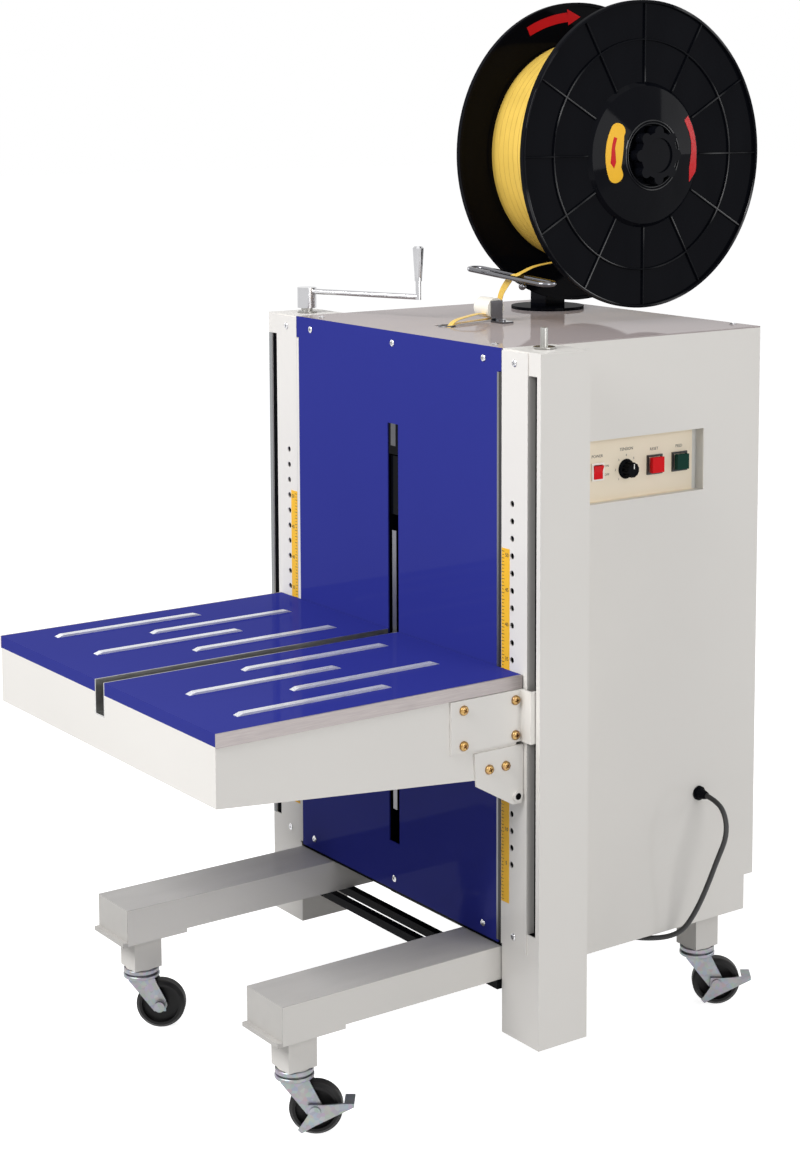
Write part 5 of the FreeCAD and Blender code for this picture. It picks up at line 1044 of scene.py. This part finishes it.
class STRAPPER_OT_beads(bpy.types.Operator):
    """Rounds the crests of the near disc's ribs, ring and rim"""
    bl_idname = "strapper.beads"
    bl_label = "Reel beads"

    def execute(self, context):
        ribs = evaluated(drawn("rib_beads", rib_bead), spoke_tree(), "rubbed", {"Count": RIBS, "Centre": REEL_AXIS})
        settle(ribs, "reel", "rubbed")
        for name, *facts in BEADS:
            settle(drawn(name, ring_bead, *facts), "reel", "rubbed")
        return {"FINISHED"}


class STRAPPER_OT_signs(bpy.types.Operator):
    """Puts the turning arrows and the round-ended label on the reel"""
    bl_idname = "strapper.signs"
    bl_label = "Reel signs"

    def execute(self, context):
        for name, (finish, slot, rise, *facts) in SIGNS.items():
            at = (lambda y, z: FAR_FACE) if name == "far_arrow" else hub_face
            settle(drawn(name, film, arc_outline(*facts), rise, at), "reel", finish)
        return {"FINISHED"}


# Screws and bolts, set out by one node tree

# Radius and height
PAN_HEAD, BOLT_HEAD = (0.0052, 0.0022), (0.007, 0.005)
PANEL_FACE, COVER_TOP = -2, 1080
PANEL_SCREWS = [(x, z) for x in (-230, 0, 230) for z in (1062, 230)] + [
    (x, z) for x in (-303, 303) for z in (1062, 231)]
COVER_SCREWS = [(x, depth) for x in (-230, 230) for depth in (18, 477)]
BOLT_PLACES = [(-107, 588), (-17, 588), (-107, 537.5), (-17, 537.5), (-63, 496), (-34, 496)]


def recessed_head(draft, radius, height):
    """A pan head with a cross cut into it."""
    profile = [(level * height, reach * radius) for level, reach in ((0, 1), (0.45, 1), (0.8, 0.86), (1, 0.62))]
    rings = lathe(draft, profile, Vector(), 24, top=False)
    arm, half = 0.5 * radius, 0.13 * radius
    cross = []
    for quarter in range(4):
        cosine, sine = cos(quarter * pi / 2), sin(quarter * pi / 2)
        cross += [(u * cosine - v * sine, u * sine + v * cosine) for u, v in ((arm, -half), (arm, half), (half, half))]
    floor, brim = ([draft.verts.new((u * share, v * share, level * height)) for u, v in cross]
                   for share, level in ((0.8, 0.3), (1, 1)))
    sew(draft, [floor, brim], top=False)
    draft.edges.ensure_lookup_table()
    rim = [edge for ring in (rings[-1], brim) for edge in draft.edges
           if edge.verts[0] in ring and edge.verts[1] in ring]
    bmesh.ops.triangle_fill(draft, edges=rim, use_beauty=True)


def fastener_tree():
    """Sets one head on each point, faces it along the point's direction and turns it by chance."""
    tree, given = tree_with("fasteners", {"Geometry": "Geometry", "Head": "Object", "Seed": "Int"})
    head = grow(tree, "GeometryNodeObjectInfo", {"Object": given["Head"], "As Instance": True})
    facing = grow(tree, "GeometryNodeInputNamedAttribute", {"Name": "facing"}, data_type="FLOAT_VECTOR")
    aimed = grow(tree, "FunctionNodeAlignRotationToVector", {"Vector": facing.outputs["Attribute"]}, axis="Z")
    chance = grow(tree, "FunctionNodeRandomValue", {"Seed": given["Seed"]}, data_type="FLOAT")
    spin = grow(tree, "ShaderNodeCombineXYZ", {"Z": chance.outputs[1]})
    placed = grow(tree, "GeometryNodeInstanceOnPoints", {
        "Points": given["Geometry"], "Instance": head.outputs["Geometry"], "Rotation": aimed})
    return close_tree(tree, given, grow(tree, "GeometryNodeRotateInstances", {"Instances": placed, "Rotation": spin}))


def fasteners(name, places, size, finish, seed, body, replaced):
    """Heads at (place, facing) pairs."""
    head = drawn(name + "_head", recessed_head, *size)
    mesh = bpy.data.meshes.new(name)
    mesh.from_pydata([place for place, _ in places], [], [])
    facing = mesh.attributes.new("facing", "FLOAT_VECTOR", "POINT")
    facing.data.foreach_set("vector", [part for _, way in places for part in way])
    made = evaluated(added(name, mesh), fastener_tree(), finish, {"Head": head, "Seed": seed})
    bpy.data.objects.remove(head)
    settle(made, body, finish, replaced)


class STRAPPER_OT_screws(bpy.types.Operator):
    """Sets the cross-headed screws and the plated bolts"""
    bl_idname = "strapper.screws"
    bl_label = "Screws and bolts"

    def execute(self, context):
        places = [(spot(x, PANEL_FACE, z), AHEAD) for x, z in PANEL_SCREWS]
        places += [(spot(x, depth, COVER_TOP), UP) for x, depth in COVER_SCREWS]
        fasteners("cover_screws", places, PAN_HEAD, "chrome", 3, "cabinet", ["panel_screws"])
        outer = (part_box("bracket_bolts")[1].x - BOLT_HEAD[1]) / MM
        bolts = [(spot(side * outer, depth, z), (side, 0, 0)) for side in (-1, 1) for depth, z in BOLT_PLACES]
        fasteners("table_bolts", bolts, BOLT_HEAD, "zinc", 8, "table", ["bracket_bolts"])
        return {"FINISHED"}


# Steel in the strap slot and along the front panel, and a sheet of painted shade in one of its gaps

PLATES = {
    "panel_gap_left": ("cream", (-272.3, -2.25, 216), (-268.4, -2, 1046)),
    # Painted shade: a near-black sheet in the right-hand gap, where there is only shade.
    "panel_gap_right": ("gap", (266.4, -2.25, 216), (272.3, -2, 1046)),
    "panel_edge_left": ("cream", (-268.4, -2.4, 216), (-266, -2, 1046)),
    "panel_edge_right": ("liner", (262.4, -2.4, 216), (266.4, -2, 1046)),
    "slot_liner": ("liner", (-5.3, -0.2, 340), (5.3, 0.6, 776)),
    "slot_cap": ("dark", (-6.4, -1.6, 906), (6.4, -1.1, 976)),
}


class STRAPPER_OT_slot(bpy.types.Operator):
    """Sets the strap slot's steel plates, the front panel's side trims and a sheet of painted shade in a gap"""
    bl_idname = "strapper.slot"
    bl_label = "Strap slot"

    def execute(self, context):
        for name, (finish, low, high) in PLATES.items():
            settle(drawn(name, slab, spot(*low), spot(*high), 0.0001), "cabinet", finish)
        return {"FINISHED"}


# Height scales on the guide plates

SCALE_LOW, SCALE_HIGH, SCALE_FACE, SCALE_INNER, SCALE_OUTER = 277.5, 796, -2, 274, 292.5
SCALE_GAUGE, PRINT, NUMBER_SIZE, NUMBER_OUT, NUMBER_UP = 0.5, SCALE_FACE - 0.6, 0.008, 12.5, 9
TICK_OUT, TICK_UP, TICK_WIDTH, TICK_DEPTH, TICK_HEIGHT, TICK_SHORT = 3.6, 4, 0.006, 0.0003, 0.0008, 0.6
INK_DEPTH = 0.0001


def tick_tree():
    """Marks at even steps up a line, every second one long."""
    tree, given = tree_with("ticks", {"Count": "Int", "Step": "Float", "Start": "Vector", "Width": "Float"})
    rise = grow(tree, "ShaderNodeCombineXYZ", {"Z": given["Step"]})
    line = grow(tree, "GeometryNodeMeshLine", {
        "Count": given["Count"], "Start Location": given["Start"], "Offset": rise}, mode="OFFSET")
    size = grow(tree, "ShaderNodeCombineXYZ", {"X": given["Width"], "Y": TICK_DEPTH, "Z": TICK_HEIGHT})
    bar = grow(tree, "GeometryNodeMeshCube", {"Size": size})
    index = grow(tree, "GeometryNodeInputIndex")
    even = grow(tree, "ShaderNodeMath", {0: index, 1: 2.0}, operation="MODULO")
    short = grow(tree, "ShaderNodeMath", {0: even, 1: TICK_SHORT - 1, 2: 1.0}, operation="MULTIPLY_ADD")
    scale = grow(tree, "ShaderNodeCombineXYZ", {"X": short, "Y": 1.0, "Z": 1.0})
    return close_tree(tree, given, grow(tree, "GeometryNodeInstanceOnPoints", {
        "Points": line, "Instance": bar, "Scale": scale}))


def lettering(name, words, across):
    """Joins upright words to one thin print; each is (text, height, place)."""
    joined = bmesh.new()
    across, up = Vector(across), Vector(UP)
    turn = Matrix((across, up, across.cross(up))).transposed().to_4x4()
    for text, height, place in words:
        curve = bpy.data.curves.new(name, "FONT")
        curve.body = text
        curve.size = height
        curve.extrude = INK_DEPTH
        curve.align_x, curve.align_y = "CENTER", "CENTER"
        curve.resolution_u = 2
        mesh = taken(added(name, curve))
        mesh.transform(Matrix.Translation(place) @ turn)
        joined.from_mesh(mesh)
        bpy.data.meshes.remove(mesh)
    mesh = bpy.data.meshes.new(name)
    joined.to_mesh(mesh)
    joined.free()
    settle(added(name, mesh), "cabinet", "ink")


class STRAPPER_OT_scales(bpy.types.Operator):
    """Fixes the yellow height scales with their marks and numbers"""
    bl_idname = "strapper.scales"
    bl_label = "Height scales"

    def execute(self, context):
        words = []
        for name, side in (("left", -1), ("right", 1)):
            low, high = sorted((side * SCALE_INNER, side * SCALE_OUTER))
            plate = drawn(f"scale_{name}", slab, spot(low, SCALE_FACE - SCALE_GAUGE, SCALE_LOW),
                          spot(high, SCALE_FACE, SCALE_HIGH), 0.0002)
            settle(plate, "cabinet", "label")
            blank = added(f"ticks_{name}", bpy.data.meshes.new("blank"))
            ticks = evaluated(blank, tick_tree(), "ink", {
                "Count": sizes().ticks, "Step": sizes().tick_pitch, "Width": TICK_WIDTH,
                "Start": spot(side * (SCALE_INNER + TICK_OUT), PRINT, SCALE_LOW + TICK_UP)})
            settle(ticks, "cabinet", "ink")
            across = side * (SCALE_INNER + NUMBER_OUT)
            words += [(str(number), NUMBER_SIZE, spot(across, PRINT, SCALE_LOW + NUMBER_UP + number * 10))
                      for number in range(5, 51, 5)]
        lettering("scale_numbers", words, ACROSS)
        return {"FINISHED"}


# Legends and pointer of the control plate

PLATE_FACE, KNOB_DEPTH, KNOB_HEIGHT, KNOB_FACE, DIAL_RADIUS = 254.55, 243.5, 881.2, 0.2731, 20.5
# Half width, foot and tip
POINTER = (0.0007, 0.002, 0.0095)
LEGENDS = [
    ("POWER", 0.0062, 187.7, 905), ("ON", 0.005, 206, 889), ("OFF", 0.005, 206.5, 876),
    ("TENSION", 0.0062, KNOB_DEPTH, 911), ("RESET", 0.0062, 297.6, 906), ("FEED", 0.0062, 346.9, 906),
]


class STRAPPER_OT_controls(bpy.types.Operator):
    """Prints the generic legends and the knob's pointer"""
    bl_idname = "strapper.controls"
    bl_label = "Controls"

    def execute(self, context):
        words = list(LEGENDS)
        for number in range(7):
            turn = radians(-135 + 45 * number)
            words.append((str(number + 1), 0.0045, KNOB_DEPTH + DIAL_RADIUS * sin(turn),
                          KNOB_HEIGHT + DIAL_RADIUS * cos(turn)))
        lettering("legends", [(text, height, spot(PLATE_FACE, *place)) for text, height, *place in words], BACK)
        half, foot, tip = POINTER
        outline = [(-half, foot), (half, foot), (half, tip), (-half, tip)]
        pointer = drawn("knob_pointer", prism, outline, -0.0002, 0.0003, lambda u, v, level: Vector((
            KNOB_FACE + level, deep(KNOB_DEPTH) + u, KNOB_HEIGHT * MM + v)))
        settle(pointer, "knob", "white")
        return {"FINISHED"}


# Lead screws with their threads and chain wheels

SCREW_FOOT, SCREW_HEAD, THREAD_FOOT, THREAD_HEAD = 0.0808, 1.0803, 0.1, 1.045
JOURNAL, JOURNAL_END, EASED, THREAD_CREST, THREAD_ROOT = 0.01, 0.0097, 0.0005, 0.0099, 0.0082
SCREW_WASHER = [(SCREW_HEAD, 0.0155), (1.0808, 0.016), (1.0828, 0.016), (1.0833, 0.0155)]
WHEEL_TEETH, WHEEL_REACH, WHEEL_LOW, WHEEL_HIGH = 16, 0.024, 1.053, 1.059
SCREWS = {
    "lead_screw_left": ("crank", spot(-312, 43, 0), [(1.0833, 0.0095), (1.0883, 0.0095)]),
    "lead_screw_right": ("right_screw", spot(312, 43, 0), [(1.0833, 0.0055), (1.1093, 0.0055), (1.1103, 0.0047)]),
}


def threaded(draft, centre):
    """A trapezoid thread as one helical skin between two plain journals."""
    lead, steps = sizes().thread_lead, 20
    section = [(0, THREAD_ROOT), (0.3, THREAD_ROOT), (0.42, THREAD_CREST), (0.88, THREAD_CREST), (1, THREAD_ROOT)]
    turns = int((THREAD_HEAD - THREAD_FOOT) / lead) - 1
    rings = [[draft.verts.new(centre + polar(THREAD_FOOT + lead * (k / steps + share), reach, k / steps))
              for share, reach in section] for k in range(turns * steps + 1)]
    for first, second in zip(rings, rings[1:]):
        for j in range(len(section) - 1):
            draft.faces.new((first[j], second[j], second[j + 1], first[j + 1]))
    bmesh.ops.remove_doubles(draft, verts=draft.verts, dist=WELD)
    bmesh.ops.holes_fill(draft, edges=draft.edges, sides=0)
    top = THREAD_FOOT + lead * (turns + 1)
    for start, end in ((SCREW_FOOT, THREAD_FOOT + lead), (top - lead, SCREW_HEAD)):
        lathe(draft, [(start, JOURNAL_END), (start + EASED, JOURNAL), (end - EASED, JOURNAL), (end, JOURNAL_END)],
              centre, 32)


def chain_wheel(draft, centre):
    """A toothed wheel round the screw."""
    outline = []
    for k in range(WHEEL_TEETH):
        for share, reach in ((0, 0.86), (0.2, 0.9), (0.38, 1), (0.62, 1), (0.8, 0.9)):
            turn = 2 * pi * (k + share) / WHEEL_TEETH
            outline.append((WHEEL_REACH * reach * sin(turn), WHEEL_REACH * reach * cos(turn)))
    prism(draft, outline, WHEEL_LOW, WHEEL_HIGH, lambda u, v, level: centre + Vector((u, v, level)))


def lift_screw(draft, centre, end):
    """A lead screw with its thread, chain wheel, washer and upper end."""
    threaded(draft, centre)
    chain_wheel(draft, centre)
    for profile in (SCREW_WASHER, end):
        lathe(draft, profile, centre, 40)


class STRAPPER_OT_lift_screws(bpy.types.Operator):
    """Cuts the threads of the lead screws"""
    bl_idname = "strapper.lift_screws"
    bl_label = "Lead screws"

    def execute(self, context):
        for node, (body, centre, end) in SCREWS.items():
            settle(drawn(node + "_threaded", lift_screw, centre, end), body, "screw", [node])
        return {"FINISHED"}


class STRAPPER_PT_panel(bpy.types.Panel):
    """Lists the pieces in the sidebar"""
    bl_idname = "STRAPPER_PT_panel"
    bl_label = "Strapping Machine"
    bl_space_type = "VIEW_3D"
    bl_region_type = "UI"
    bl_category = "Strapping Machine"

    def draw(self, context):
        for group in (context.scene.strapper_colours, context.scene.strapper_sizes):
            box = self.layout.box()
            for name in group.__annotations__:
                box.prop(group, name)
        for operator in OPERATORS:
            self.layout.operator(operator.bl_idname)


OPERATORS = (
    STRAPPER_OT_stage, STRAPPER_OT_cord, STRAPPER_OT_paintwork, STRAPPER_OT_strap, STRAPPER_OT_beads,
    STRAPPER_OT_signs, STRAPPER_OT_screws, STRAPPER_OT_slot, STRAPPER_OT_scales, STRAPPER_OT_controls,
    STRAPPER_OT_lift_screws, STRAPPER_OT_castors,
)
CLASSES = (StrapperColours, StrapperSizes, *OPERATORS, STRAPPER_PT_panel)


def register():
    for made in CLASSES:
        bpy.utils.register_class(made)
    bpy.types.Scene.strapper_colours = PointerProperty(type=StrapperColours)
    bpy.types.Scene.strapper_sizes = PointerProperty(type=StrapperSizes)


def unregister():
    del bpy.types.Scene.strapper_sizes
    del bpy.types.Scene.strapper_colours
    for made in reversed(CLASSES):
        bpy.utils.unregister_class(made)


def main():
    register()
    make_finishes()
    for operator in OPERATORS:
        area, action = operator.bl_idname.split(".")
        getattr(getattr(bpy.ops, area), action)()


if __name__ == "__main__":
    main()
